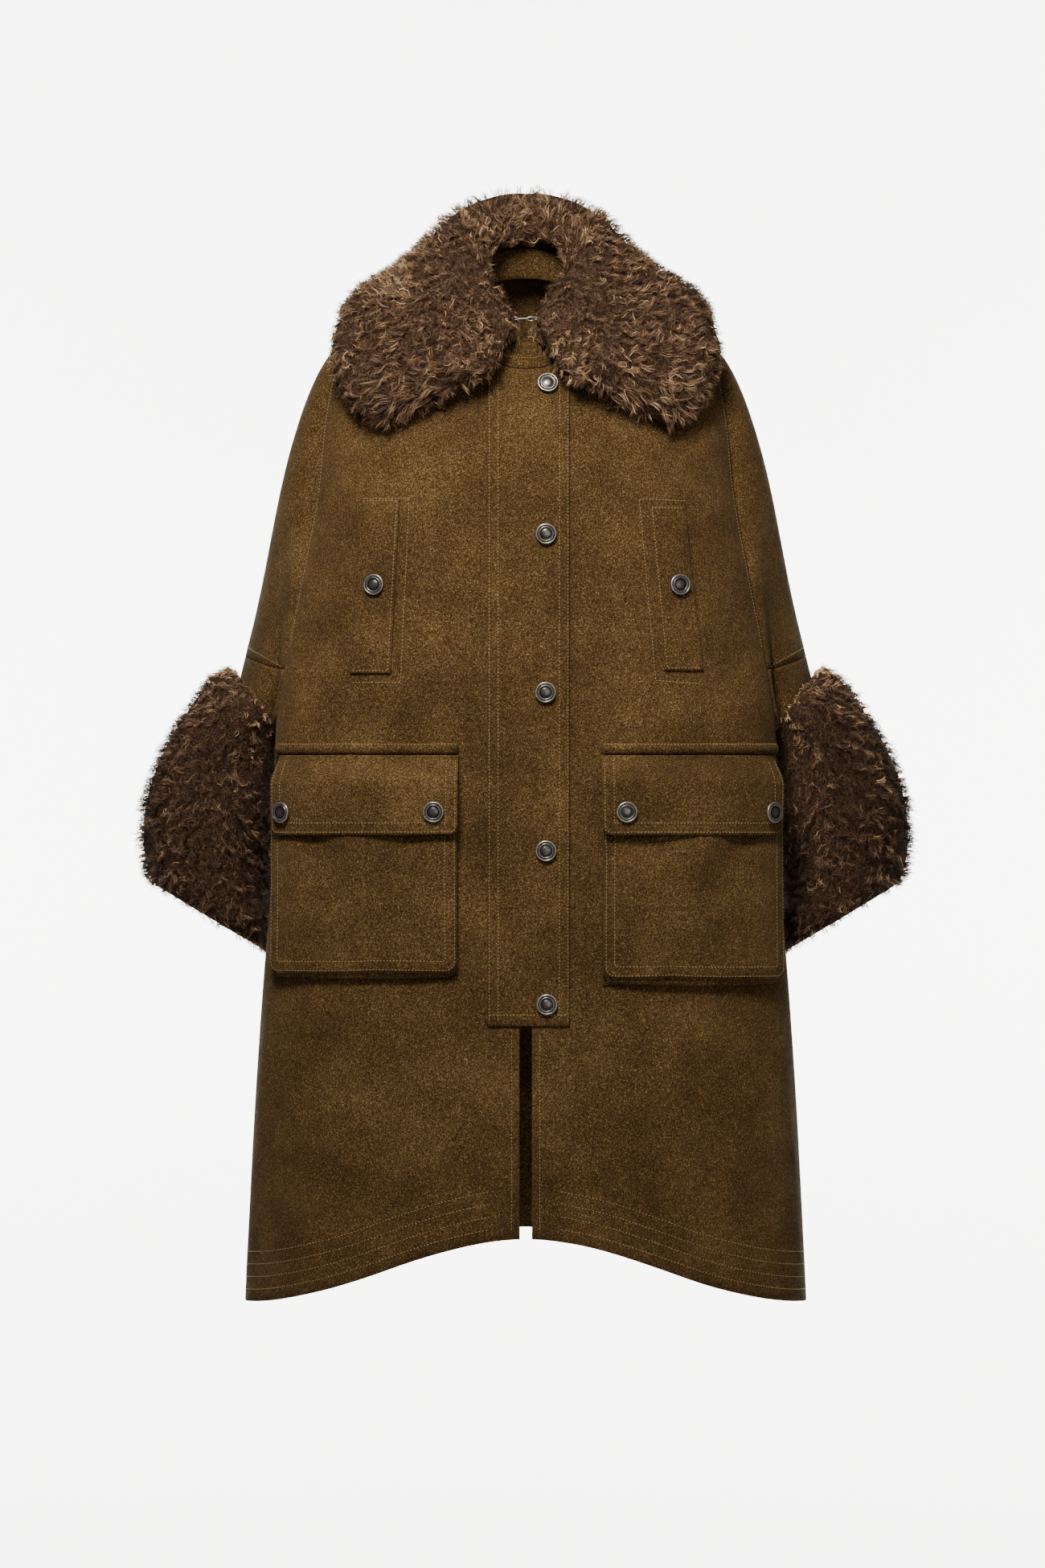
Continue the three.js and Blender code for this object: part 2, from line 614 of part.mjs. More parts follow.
function yoke(side) {
  const outerX = side > 0 ? YOKE_OUTER_X.right : YOKE_OUTER_X.left;
  return patch(side > 0 ? 'yoke_right' : 'yoke_left', 7, 7, (u, v) => {
    const s = lerp(YOKE.top, lerp(YOKE.lowInner, YOKE.lowOuter, smooth(u)), v);
    const x = lerp(YOKE.innerX, lerp(YOKE.outerTopX, outerX, smooth(v * 1.3)), u);
    return [side * Math.min(angleAtX(x, s), radians(YOKE.farthest)), s];
  }, LAID);
}

// The lower bellows pockets: where each starts from the centre front and how wide it is, along the cloth,
// and how low its bag reaches.
const POCKETS = [
  { side: 'left', turn: -1, inner: 73, width: 207, bottom: -684 },
  { side: 'right', turn: 1, inner: 82, width: 202, bottom: -692 },
];
const BAG = { top: -478, deep: 13, belly: 2.2, bend: 14, edge: 0.05 };
const FLAP = {
  top: -444.5,
  bottom: -531,
  corner: 9,
  lowest: 17.2,
  over: 1.5,
  short: 3,
  narrows: 5,
  wave: 0.8,
};
const RIDGE = { top: -432, bottom: -444, thick: 6 };

function pocketPlace(pocket, along, z) {
  const s = stationAtHeight(z);
  return [pocket.turn * angleAtLength(pocket.inner + along, s), s];
}

// The bag is a shell: a face that stands off the body with its sides and bottom folded back to it.
// Its top is open under the flap. Each row tells how far a fold line lies from the edge and how high.
const BAG_FOLDS = [
  { inset: 0, share: 0 },
  { inset: 0, share: 0.5 },
  { inset: 1.2, share: 0.93 },
  { inset: 5, share: 1 },
];

function pocketBag(pocket) {
  const across = [
    ...BAG_FOLDS.map((fold) => ({ along: fold.inset, share: fold.share })),
    ...[0.2, 0.35, 0.5, 0.65, 0.8].map((part) => ({ along: part * pocket.width, share: 1 })),
    ...BAG_FOLDS.map((fold) => ({ along: pocket.width - fold.inset, share: fold.share })).reverse(),
  ];
  const down = [
    ...[0, 0.25, 0.5, 0.75].map((part) => ({ z: lerp(BAG.top, pocket.bottom + BAG.bend, part), share: 1 })),
    ...BAG_FOLDS.map((fold) => ({ z: pocket.bottom + fold.inset, share: fold.share })).reverse(),
  ];
  const grid = (shrink) =>
    down.map((row) =>
      across.map((column) => {
        const share = Math.min(row.share, column.share);
        const middle = Math.sin((Math.PI * column.along) / pocket.width);
        const height = clamp01((row.z - pocket.bottom) / (BAG.top - pocket.bottom));
        const full = BAG.deep + BAG.belly * middle * Math.sin(Math.PI * height);
        const across01 = column.along / pocket.width;
        const inward = (across01 < 0.5 ? 1 : -1) * shrink;
        const along = Math.min(across01, 1 - across01) < BAG.edge ? inward : 0;
        const up = row.z < pocket.bottom + BAG.bend / 2 ? shrink : 0;
        const place = pocketPlace(pocket, column.along + along, row.z + up);
        const lift = share === 0 ? LAID : lerp(LAID, full, share) - shrink * share;
        return offBody(place[0], place[1], lift);
      }),
    );
  return wall(`pocket_bag_${pocket.side}`, grid(0), grid(CLOTH), loden);
}

function pocketFlap(pocket) {
  return patch(`pocket_flap_${pocket.side}`, 10, 6, (u, v) => {
    const round = Math.max(0, (Math.abs(2 * u - 1) - 1) * pocket.width * 0.5 + FLAP.corner);
    const rise = (FLAP.corner - Math.sqrt(Math.max(0, FLAP.corner ** 2 - round ** 2))) * smooth(v * 3 - 2);
    const outer = pocket.width - FLAP.short - FLAP.narrows * smooth(v * 2.6);
    const along = lerp(-FLAP.over, outer, u);
    return pocketPlace(pocket, along, lerp(FLAP.top, FLAP.bottom, v) + rise);
  }, (u, v) => lerp(LAID, FLAP.lowest, smooth(v * 2.6)) + FLAP.wave * smooth(v * 2 - 1) * Math.cos(9 * u));
}

function flapRidge(pocket) {
  return patch(`flap_ridge_${pocket.side}`, 12, 1, (u, v) =>
    pocketPlace(pocket, lerp(-1, pocket.width + 1, u), lerp(RIDGE.top, RIDGE.bottom, v)), LAID, RIDGE.thick);
}

// A shank button, turned: rim, ring and domed middle. Heights are above the cloth that it is sewn to.
const BUTTON_PROFILE = [
  { radius: 0, height: 0 },
  { radius: 4.2, height: 0 },
  { radius: 4.4, height: 1.6 },
  { radius: 11.2, height: 2.6 },
  { radius: 10.6, height: 4.8 },
  { radius: 8.9, height: 4.1 },
  { radius: 0, height: 5.4 },
];

function button(name, theta, s, off) {
  const outline = BUTTON_PROFILE.map((row) => new THREE.Vector2(row.radius, row.height));
  const turned = new THREE.LatheGeometry(outline, 12).rotateX(SIDE);
  turned.deleteAttribute('normal');
  turned.deleteAttribute('uv');
  const mesh = new THREE.Mesh(turned, pewter);
  const outwards = bodyNormal(theta, s);
  mesh.position.copy(offBody(theta, s, off + SEAM));
  mesh.quaternion.setFromUnitVectors(new THREE.Vector3(0, 0, 1), outwards);
  mesh.name = name;
  return mesh;
}

const PLACKET_BUTTONS = [
  { x: 23.5, z: -48.5 },
  { x: 21.5, z: -208.5 },
  { x: 21, z: -378 },
  { x: 21.5, z: -547.5 },
  { x: 22.5, z: -712 },
];
const FLAP_BUTTON = { edge: 24, z: -506.5, clear: 0.25 };

function buttons() {
  const placed = PLACKET_BUTTONS.map(({ x, z }, i) => {
    let s = 0;
    while (bodyPoint(angleAtX(x, s), s).z > z) s += 0.002;
    return button(`placket_button_${i + 1}`, angleAtX(x, s), s, SEAM + CLOTH);
  });
  WELTS.forEach((row) => {
    const s = stationAtHeight(WELT_BUTTON_Z);
    placed.push(button(`chest_button_${row.side}`, angleAtX(row.buttonX, s), s, SEAM + CLOTH));
  });
  POCKETS.forEach((pocket) => {
    [FLAP_BUTTON.edge, pocket.width - FLAP_BUTTON.edge].forEach((along, i) => {
      const [theta, s] = pocketPlace(pocket, along, FLAP_BUTTON.z);
      const off = FLAP.lowest + CLOTH + FLAP_BUTTON.clear;
      placed.push(button(`flap_button_${pocket.side}_${i === 0 ? 'inner' : 'outer'}`, theta, s, off));
    });
  });
  return placed;
}

// The hook and eye that hold the collar's two front ends together, as one bar between them.
const HOOK = { width: 25.4, depth: 2.4, height: 3, x: 0, y: -100, z: 23 };

function neckHook() {
  const geometry = new THREE.BoxGeometry(HOOK.width, HOOK.depth, HOOK.height);
  geometry.deleteAttribute('normal');
  geometry.deleteAttribute('uv');
  const mesh = new THREE.Mesh(geometry, pewter);
  mesh.position.set(HOOK.x, HOOK.y, HOOK.z);
  mesh.name = 'neck_hook';
  return mesh;
}

const coat = new THREE.Group();
coat.name = 'loden_cape_coat';
[-1, 1].forEach((side) => {
  coat.add(frontPanel(side), upperSleeve(side), sleeveBand(side), furCuff(side), yoke(side));
});
coat.add(backPanel, furCollar(), placket(), neckHook());
NECK_BANDS.forEach((band) => coat.add(neckBand(band)));
WELTS.forEach((row) => coat.add(welt(row)));
POCKETS.forEach((pocket) => coat.add(pocketBag(pocket), pocketFlap(pocket), flapRidge(pocket)));
coat.add(...buttons());

export default coat;
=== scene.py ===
# %% [markdown]
# # A loden cape coat with a fur collar and fur cuffs
# The coat hangs filled out with no wearer. Its cloth is felted wool about 2.6 mm thick: two fronts, a
# back, two bell sleeves with a band above the cuff, a buttoned placket, slanted chest pockets and two
# bellows pockets. The collar and the cuffs are curly fur. Each cloth piece here is a surface worked out
# from the coat's sizes, as a pattern cutter would, so every pocket and seam lies on the panel under it.

import bpy
import numpy as np
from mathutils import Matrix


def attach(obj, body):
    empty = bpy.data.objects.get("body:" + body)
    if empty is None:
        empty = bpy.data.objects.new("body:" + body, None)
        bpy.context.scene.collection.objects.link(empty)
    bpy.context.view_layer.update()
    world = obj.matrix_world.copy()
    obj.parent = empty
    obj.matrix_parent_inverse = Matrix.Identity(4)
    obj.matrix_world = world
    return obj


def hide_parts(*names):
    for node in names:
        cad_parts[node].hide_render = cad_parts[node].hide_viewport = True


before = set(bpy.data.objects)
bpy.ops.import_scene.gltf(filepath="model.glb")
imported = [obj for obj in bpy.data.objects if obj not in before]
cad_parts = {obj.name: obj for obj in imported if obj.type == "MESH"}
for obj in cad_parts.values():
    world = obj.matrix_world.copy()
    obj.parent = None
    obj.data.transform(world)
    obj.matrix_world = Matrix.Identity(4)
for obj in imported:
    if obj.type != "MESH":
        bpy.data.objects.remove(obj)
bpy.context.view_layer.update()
MM = 0.001

# %% [markdown]
# ## The camera
# The photograph is taken straight from the front with a long lens: the collar's top and the hem show no
# convergence. A camera far away with a very long lens, level with the middle of the coat, sees it alike.

# %% Place the camera
VIEW_HEIGHT = 1.687  # metres of the object's plane from the top to the bottom of the picture
VIEW_CENTRE = (-0.0035, -0.4758)
CAMERA_FAR = 24.0
SENSOR = 36.0

camera_data = bpy.data.cameras.new("camera")
camera_data.sensor_fit = "VERTICAL"
camera_data.sensor_height = SENSOR
camera_data.lens = SENSOR * CAMERA_FAR / VIEW_HEIGHT
camera = bpy.data.objects.new("camera", camera_data)
camera.location = (VIEW_CENTRE[0], -CAMERA_FAR, VIEW_CENTRE[1])
camera.rotation_euler = (np.pi / 2, 0, 0)
bpy.context.scene.collection.objects.link(camera)
bpy.context.scene.camera = camera
print("lens", round(camera_data.lens, 1), "mm")

# %% [markdown]
# ## The body's surface
# One formula gives the whole body of the coat. Twelve stations run down it, each a closed loop whose
# front half and back half are superellipses. A point is named by its angle round the body and its
# station, and the smooth curve between the stations gives everything in between. Folds and creases are
# added to the same formula, so whatever is sewn on a panel follows them.

# %% The sizes, in millimetres
CLOTH = 2.6  # thickness of the felted loden
LAID = 1.25  # gap under a piece that is laid on a strongly curved place
SEAM = 0.35  # gap between two pieces at a seam
HEM_FRONT, HEM_BACK, HEM_SIDE = -962, -956, -1031
VENT_HALF = 6.5
VENT_TOP = -735
VENT_OPENS = 70
EDGE_GAP = 0.6
SIDE_DROP = 1.5
LEVEL_STATION = 4

# zFront, zSide, zBack, half width, yFront, yBack, ySide, squareness of the front, of the back
STATIONS = np.array(
    [
        [-31.5, 46, 72, 74, -98, 74, 6, 2.5, 2.0],
        [-54, 28, 50, 136, -109, 100, 4, 2.3, 2.0],
        [-84, 3, 6, 196, -121, 118, 0, 2.1, 2.0],
        [-122, -62, -64, 219, -131, 128, -8, 2.2, 2.0],
        [-170, -170, -170, 231, -138, 136, -16, 2.3, 1.9],
        [-250, -250, -250, 246, -143, 144, -26, 2.35, 1.8],
        [-340, -340, -340, 262, -147, 153, -38, 2.4, 1.7],
        [-430, -430, -430, 269, -150, 161, -56, 2.4, 1.66],
        [-560, -560, -560, 272, -154, 169, -56, 2.4, 1.7],
        [-700, -700, -700, 283, -160, 177, -42, 2.35, 1.8],
        [-843, -843, -843, 292.5, -170, 187, -24, 2.3, 1.95],
        [-1040, -1040, -1040, 302.5, -188, 202, -8, 2.25, 2.1],
    ]
)
Z_FRONT, Z_SIDE, Z_BACK, HALF, Y_FRONT, Y_BACK, Y_SIDE, SQUARE, SOFT = range(9)

# angle round the body, spread in degrees, how far it stands out at the hem, the height where it starts
FOLDS = np.array(
    [
        [-20, 7, 7, -560],
        [-8, 4, -4, -740],
        [11, 6, 6, -600],
        [38, 10, -5, -700],
        [-52, 10, 4, -700],
        [118, 10, 6, -520],
        [150, 11, -8, -420],
        [180, 9, 9, -360],
        [-145, 11, -7, -450],
        [-116, 10, 6, -540],
    ]
)

# Soft creases listed one by one: where each starts and ends as an angle and a height, how wide it is,
# and how deep it sinks (negative) or stands (positive).
CREASES = np.array(
    [
        [-13, -200, -15, -420, 16, -1.6],
        [17, -190, 15, -400, 15, -1.5],
        [16, -560, 13, -760, 18, -1.8],
        [-14, -560, -19, -740, 20, 1.6],
        [-33, -150, -24, -260, 22, -1.5],
        [31, -150, 23, -270, 20, -1.3],
        [-44, -300, -30, -400, 20, 1.8],
        [46, -290, 33, -410, 20, 1.7],
        [-62, -330, -40, -425, 18, -1.5],
        [60, -345, 42, -425, 18, -1.6],
        [-30, -700, -38, -880, 24, 2.2],
        [-45, -720, -58, -930, 26, -2.4],
        [29, -700, 33, -900, 22, 2.0],
        [47, -720, 56, -960, 26, -2.4],
        [8, -780, 6, -950, 15, -1.8],
        [-5, -430, -6, -520, 14, 1.0],
        [70, -760, 76, -980, 26, 2.2],
        [-74, -740, -80, -990, 26, 2.2],
        [176, -120, 172, -330, 24, -3.0],
        [-164, -130, -168, -300, 22, 2.2],
        [150, -160, 142, -380, 26, 2.6],
        [-146, -150, -138, -360, 26, 2.4],
        [162, -420, 166, -760, 26, -3.0],
        [-128, -300, -122, -520, 26, -2.6],
        [126, -330, 120, -560, 26, -2.4],
        [-158, -600, -154, -900, 28, 2.6],
    ]
)


# %% Reading between rows
def lerp(a, b, t):
    """The value a share t of the way from a to b."""
    return a + (b - a) * t


def smooth(t):
    """An even rise from 0 to 1: three squares of t less two cubes."""
    t = np.clip(t, 0.0, 1.0)
    return t * t * (3 - 2 * t)


def between(rows, place):
    """Rows read at a fractional place, on a smooth curve through them (uniform Catmull-Rom)."""
    last = len(rows) - 1
    place = np.asarray(place, float)
    i = np.clip(np.floor(place), 0, last - 1).astype(int)
    t = (place - i)[..., None]
    a, b, c, d = (rows[np.clip(i + k, 0, last)] for k in (-1, 0, 1, 2))
    slope, after = (c - a) / 2, (d - b) / 2
    bend = 3 * (c - b) - 2 * slope - after
    turn = 2 * (b - c) + slope + after
    return b + slope * t + bend * t**2 + turn * t**3


def station(s):
    """The nine values of the loop at station s."""
    return between(STATIONS, s)


# %% Folds, the body's point and its normal
def fold_at(theta, z):
    """How far the cloth stands out at an angle and a height: each fold is a bell curve round the body
    that grows down to the hem, and each crease is a bell curve of the distance from its line."""
    degrees = np.degrees(theta)
    total = np.zeros(np.broadcast(theta, z).shape)
    for angle, spread, depth, top in FOLDS:
        away = (degrees - angle + 540) % 360 - 180
        total = total + depth * smooth((top - z) / (top - HEM_FRONT)) * np.exp(-((away / spread) ** 2))
    for angle0, z0, angle1, z1, width, depth in CREASES:
        per_degree = 4.6  # millimetres of cloth for a degree round the body
        x = ((degrees - angle0 + 540) % 360 - 180) * per_degree
        dx, dz = (angle1 - angle0) * per_degree, z1 - z0
        share = np.clip((x * dx + (z - z0) * dz) / (dx * dx + dz * dz), 0, 1)
        distance = np.hypot(x - share * dx, z - z0 - share * dz)
        total = total + depth * np.exp(-((distance / width) ** 2))
    return total


def body_point(theta, s):
    """A point of the outer surface. The side's share is the sine of the angle and the front's share its
    cosine, each raised to 2 over the squareness and stretched to the loop's half width and depth."""
    theta, s = np.broadcast_arrays(np.asarray(theta, float), np.asarray(s, float))
    at = station(s)
    side, ahead = np.sin(theta), np.cos(theta)
    front = ahead > 0
    power = 2 / np.where(front, at[..., SQUARE], at[..., SOFT])
    end = np.where(front, at[..., Y_FRONT], at[..., Y_BACK])
    end_z = np.where(front, at[..., Z_FRONT], at[..., Z_BACK])
    z = lerp(at[..., Z_SIDE], end_z, np.abs(ahead) ** SIDE_DROP)
    fold = fold_at(theta, z)
    x = np.sign(side) * at[..., HALF] * np.abs(side) ** power
    y = at[..., Y_SIDE] + (end - at[..., Y_SIDE]) * np.abs(ahead) ** power
    return np.stack([x + fold * side, y - fold * ahead, z], -1)


def unit(v):
    """v with length 1."""
    return v / np.maximum(np.linalg.norm(v, axis=-1, keepdims=True), 1e-12)


def normal_of(surface, u, v, step=1e-3):
    """The surface's normal: the cross product of its slopes along u and along v."""
    along = surface(u + step, v) - surface(u - step, v)
    down = surface(u, v + step) - surface(u, v - step)
    return unit(np.cross(along, down))


def off_body(theta, s, off):
    """A point that stands off millimetres above the body's surface."""
    theta, s = np.broadcast_arrays(np.asarray(theta, float), np.asarray(s, float))
    return body_point(theta, s) - normal_of(body_point, theta, s) * np.asarray(off)[..., None]


# %% Places on the body, from heights and lengths
TABLE_S = np.linspace(LEVEL_STATION, 11, 2801)
TABLE_Z = station(TABLE_S)[:, Z_SIDE]


def station_at_height(z):
    """The level station at a height, read backwards from a table of heights."""
    return np.interp(-np.asarray(z, float), -TABLE_Z, TABLE_S)


def angle_at_x(x, s):
    """The angle on the front half where the loop at station s is x from the centre line."""
    at = station(s)
    share = np.clip(np.abs(x) / at[..., HALF], 0, 1)
    return np.sign(x) * np.arcsin(share ** (at[..., SQUARE] / 2))


def angle_at_length(length, s):
    """The angle that lies a length of cloth round from the centre front, row by row of a grid."""
    turns = np.linspace(0, np.pi * 0.6, 181)
    length, s = np.broadcast_arrays(np.asarray(length, float), np.asarray(s, float))
    found = []
    for lengths, row in zip(length, s[:, 0]):
        points = body_point(turns, np.full_like(turns, row))
        run = np.concatenate([[0], np.cumsum(np.linalg.norm(np.diff(points, axis=0), axis=1))])
        found.append(np.interp(lengths, run, turns))
    return np.array(found)


print("hem width", round(2 * body_point(np.pi / 2, 11.0)[0]), "mm")

# %% [markdown]
# ## Walls of cloth
# A piece of cloth is two grids of points, one for each face, joined round their edges by a rounded
# rim, as a felted edge is. A sleeve's grid runs all round, so only its two ends have a rim.


# %% Build meshes from grids
def make_object(name, points, faces, material, slot, smooth_faces=True):
    """A mesh object at the origin from points in millimetres and arrays of faces, turned outwards."""
    points = np.asarray(points, float) * MM
    blocks = [np.asarray(block) for block in faces]
    volume = 0.0
    for block in blocks:
        for k in range(1, block.shape[1] - 1):
            a, b, c = (points[block[:, j]] for j in (0, k, k + 1))
            volume += np.einsum("ij,ij->", a, np.cross(b, c))
    if volume < 0:
        blocks = [block[:, ::-1] for block in blocks]
    sizes = np.concatenate([np.full(len(block), block.shape[1]) for block in blocks])
    corners = np.concatenate([block.ravel() for block in blocks]).astype(np.int32)
    mesh = bpy.data.meshes.new(name)
    mesh.vertices.add(len(points))
    mesh.vertices.foreach_set("co", points.astype(np.float32).ravel())
    mesh.loops.add(len(corners))
    mesh.loops.foreach_set("vertex_index", corners)
    mesh.polygons.add(len(sizes))
    starts = np.concatenate([[0], np.cumsum(sizes)[:-1]])
    mesh.polygons.foreach_set("loop_start", starts.astype(np.int32))
    mesh.update(calc_edges=True)
    if smooth_faces:
        mesh.polygons.foreach_set("use_smooth", np.ones(len(sizes), bool))
    mesh.materials.append(material)
    made = bpy.data.objects.new(name, mesh)
    bpy.context.scene.collection.objects.link(made)
    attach(made, "root")
    return made


def grid_faces(rows, columns, ring=False, start=0):
    """Quads of a grid of points, closed round its columns if it is a ring."""
    i, j = np.meshgrid(np.arange(rows - 1), np.arange(columns if ring else columns - 1), indexing="ij")
    i, j = i.ravel(), j.ravel()
    here, beside = i * columns + j, i * columns + (j + 1) % columns
    return start + np.stack([here, beside, beside + columns, here + columns], 1)


def pull_in(grid, edge, ring):
    """The grid with its border drawn in by an edge's width, to make room for the rounded rim."""
    grid = grid.copy()
    for near, far in ((0, 1), (-1, -2)):
        grid[near] += unit(grid[far] - grid[near]) * edge
    if not ring:
        for near, far in ((0, 1), (-1, -2)):
            grid[:, near] += unit(grid[:, far] - grid[:, near]) * edge
    return grid


def wall(outer, inner, ring=False, edge=0.9):
    """Points and faces of a closed wall between two grids, with a rim bulging between their borders."""
    rows, columns = outer.shape[:2]
    middle = (outer + inner) / 2
    number = np.arange(rows * columns).reshape(rows, columns)
    if ring:
        borders = [number[0], number[-1][::-1]]
    else:
        borders = [np.concatenate([number[0, :-1], number[:-1, -1], number[-1, :0:-1], number[:0:-1, 0]])]
    count = rows * columns
    points = [pull_in(outer, edge, ring).reshape(-1, 3), pull_in(inner, edge, ring).reshape(-1, 3)]
    faces = [grid_faces(rows, columns, ring), grid_faces(rows, columns, ring, count)[:, ::-1]]
    start = 2 * count
    for border in borders:
        points.append(middle.reshape(-1, 3)[border])
        rim = start + np.arange(len(border))
        after, rim_after = np.roll(border, -1), np.roll(rim, -1)
        faces.append(np.stack([after, border, rim, rim_after], 1))
        faces.append(np.stack([rim_after, rim, border + count, after + count], 1))
        start += len(border)
    return np.concatenate(points), faces


# %% Measure a grid
def surface_area(grid, ring=False):
    """The area of a grid of quads, in square metres."""
    faces = grid_faces(*grid.shape[:2], ring)
    p = grid.reshape(-1, 3)[faces] * MM
    halves = np.cross(p[:, 1] - p[:, 0], p[:, 2] - p[:, 0]), np.cross(p[:, 2] - p[:, 0], p[:, 3] - p[:, 0])
    return sum(np.linalg.norm(half, axis=1).sum() / 2 for half in halves)


# %% Cloth pieces
def cloth_piece(name, outer, inner, flat, area=None, rests_on=(), ring=False):
    """A cloth wall that replaces the solid of the same name, printed with the size it is cut to.
    Its face is the sum of the triangles of its outer grid, printed beside the cut."""
    made = make_object(name + "_cloth", *wall(outer, inner, ring), loden, "loden")
    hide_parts(name)
    wide = np.linalg.norm(np.diff(outer, axis=1), axis=2).sum(1).max() * MM
    high = np.linalg.norm(np.diff(outer, axis=0), axis=2).sum(0).max() * MM
    print(f"{name}: cut {flat} m, face {surface_area(outer, ring):.4f} m2, {wide:.3f} x {high:.3f} m")
    return made


# %% [markdown]
# ## Materials
# Loden is wool woven and then felted until the weave is gone: short fibres lie in every direction, in
# slightly different browns, with a soft nap that glows a little at grazing angles. The pewter buttons
# are dark in the hollows and bright where they are rubbed. Curly fur has dark roots and golden tips.


# %% Short ways to make a material
def node_material(name):
    """A new node material with its shader, and short ways to add nodes and links to it."""
    material = bpy.data.materials.new(name)
    material.use_nodes = True
    tree = material.node_tree
    shader = tree.nodes["Principled BSDF"]

    def add(kind, **values):
        node = tree.nodes.new(kind)
        for key, value in values.items():
            if hasattr(node, key):
                setattr(node, key, value)
            else:
                node.inputs[key.replace("_", " ")].default_value = value
        return node

    return material, shader, add, tree.links.new


def ramp(add, stops):
    """A colour ramp through (place, (red, green, blue)) stops."""
    node = add("ShaderNodeValToRGB")
    elements = node.color_ramp.elements
    while len(elements) < len(stops):
        elements.new(0.5)
    for element, (place, colour) in zip(elements, stops):
        element.position = place
        element.color = (*colour, 1)
    return node


def noise_on(add, link, coordinates, scale, detail, turn=(0, 0, 0)):
    """A noise texture read from object coordinates that are turned and stretched."""
    mapping = add("ShaderNodeMapping")
    mapping.inputs["Scale"].default_value = scale
    mapping.inputs["Rotation"].default_value = turn
    link(coordinates, mapping.inputs["Vector"])
    noise = add("ShaderNodeTexNoise", Detail=detail, Roughness=0.62)
    noise.inputs["Scale"].default_value = 1.0
    link(mapping.outputs["Vector"], noise.inputs["Vector"])
    return noise


# %% Loden
def loden_material(name, stops, sheen):
    """Felted wool: two layers of fibre streaks and fine grain pick the brown, and raise the surface."""
    material, shader, add, link = node_material(name)
    place = add("ShaderNodeTexCoord").outputs["Object"]
    down = noise_on(add, link, place, (1150, 1150, 520), 3.0, (0.25, 0.1, 0))
    across = noise_on(add, link, place, (560, 1200, 1250), 3.0, (0, 0.5, 0.2))
    mottle = noise_on(add, link, place, (14, 14, 14), 4.0)
    mixed = add("ShaderNodeMath", operation="ADD")
    link(down.outputs["Fac"], mixed.inputs[0])
    link(across.outputs["Fac"], mixed.inputs[1])
    with_mottle = add("ShaderNodeMath", operation="MULTIPLY_ADD")
    link(mottle.outputs["Fac"], with_mottle.inputs[0])
    with_mottle.inputs[1].default_value = 0.30
    link(mixed.outputs[0], with_mottle.inputs[2])
    spread = add("ShaderNodeMapRange")
    spread.inputs["From Min"].default_value = 0.82
    spread.inputs["From Max"].default_value = 1.48
    link(with_mottle.outputs[0], spread.inputs["Value"])
    colours = ramp(add, stops)
    link(spread.outputs["Result"], colours.inputs["Fac"])
    link(colours.outputs["Color"], shader.inputs["Base Color"])
    bump = add("ShaderNodeBump")
    bump.inputs["Strength"].default_value = 0.5
    bump.inputs["Distance"].default_value = 0.0006
    link(mixed.outputs[0], bump.inputs["Height"])
    link(bump.outputs["Normal"], shader.inputs["Normal"])
    shader.inputs["Roughness"].default_value = 0.92
    shader.inputs["Specular IOR Level"].default_value = 0.08
    shader.inputs["Sheen Weight"].default_value = sheen
    shader.inputs["Sheen Roughness"].default_value = 0.55
    shader.inputs["Sheen Tint"].default_value = (0.8, 0.6, 0.36, 1)
    return material


LODEN_STOPS = [
    (0.0, (0.0050, 0.0026, 0.0008)),
    (0.34, (0.0250, 0.0130, 0.0038)),
    (0.6, (0.0650, 0.0355, 0.0105)),
    (1.0, (0.2500, 0.1530, 0.0610)),
]
loden = loden_material("loden", LODEN_STOPS, 0.05)
print("loden: reads the object's own coordinates,", len(LODEN_STOPS), "browns")


# %% Fur and underfur
def fur_material(name, stops, roughness):
    """Hair: the colour runs along a stored value from the dark root to the pale tip."""
    material, shader, add, link = node_material(name)
    shade = add("ShaderNodeAttribute", attribute_name="shade")
    colours = ramp(add, stops)
    link(shade.outputs["Fac"], colours.inputs["Fac"])
    link(colours.outputs["Color"], shader.inputs["Base Color"])
    shader.inputs["Roughness"].default_value = roughness
    shader.inputs["Specular IOR Level"].default_value = 0.12
    return material


FUR_STOPS = [
    (0.0, (0.0100, 0.0052, 0.0030)),
    (0.3, (0.0430, 0.0225, 0.0115)),
    (0.6, (0.1300, 0.0720, 0.0380)),
    (0.85, (0.3000, 0.1800, 0.0980)),
    (1.0, (0.7000, 0.4600, 0.2200)),
]
fur = fur_material("fur", FUR_STOPS, 0.55)


UNDERFUR_STOPS = [
    (0.36, (0.010, 0.0052, 0.003)),
    (0.52, (0.045, 0.024, 0.0125)),
    (0.68, (0.15, 0.085, 0.045)),
]


def skin_material(name, stops):
    """The dense underfur between the locks: dark brown, broken up by fine grain."""
    material, shader, add, link = node_material(name)
    place = add("ShaderNodeTexCoord").outputs["Object"]
    grain = noise_on(add, link, place, (300, 300, 300), 4.0)
    grain.inputs["Distortion"].default_value = 1.6
    colours = ramp(add, stops)
    link(grain.outputs["Fac"], colours.inputs["Fac"])
    link(colours.outputs["Color"], shader.inputs["Base Color"])
    bump = add("ShaderNodeBump")
    bump.inputs["Distance"].default_value = 0.004
    link(grain.outputs["Fac"], bump.inputs["Height"])
    link(bump.outputs["Normal"], shader.inputs["Normal"])
    shader.inputs["Roughness"].default_value = 0.95
    shader.inputs["Specular IOR Level"].default_value = 0.1
    return material


underfur = skin_material("underfur", UNDERFUR_STOPS)
print("fur: from", FUR_STOPS[0][1], "at the root to", FUR_STOPS[-1][1], "at the tip")

# %% Pewter and thread
PEWTER_STOPS = [
    (0.25, (0.008, 0.007, 0.006)),
    (0.6, (0.040, 0.034, 0.029)),
    (0.9, (0.16, 0.14, 0.12)),
    (1.0, (0.36, 0.33, 0.29)),
]


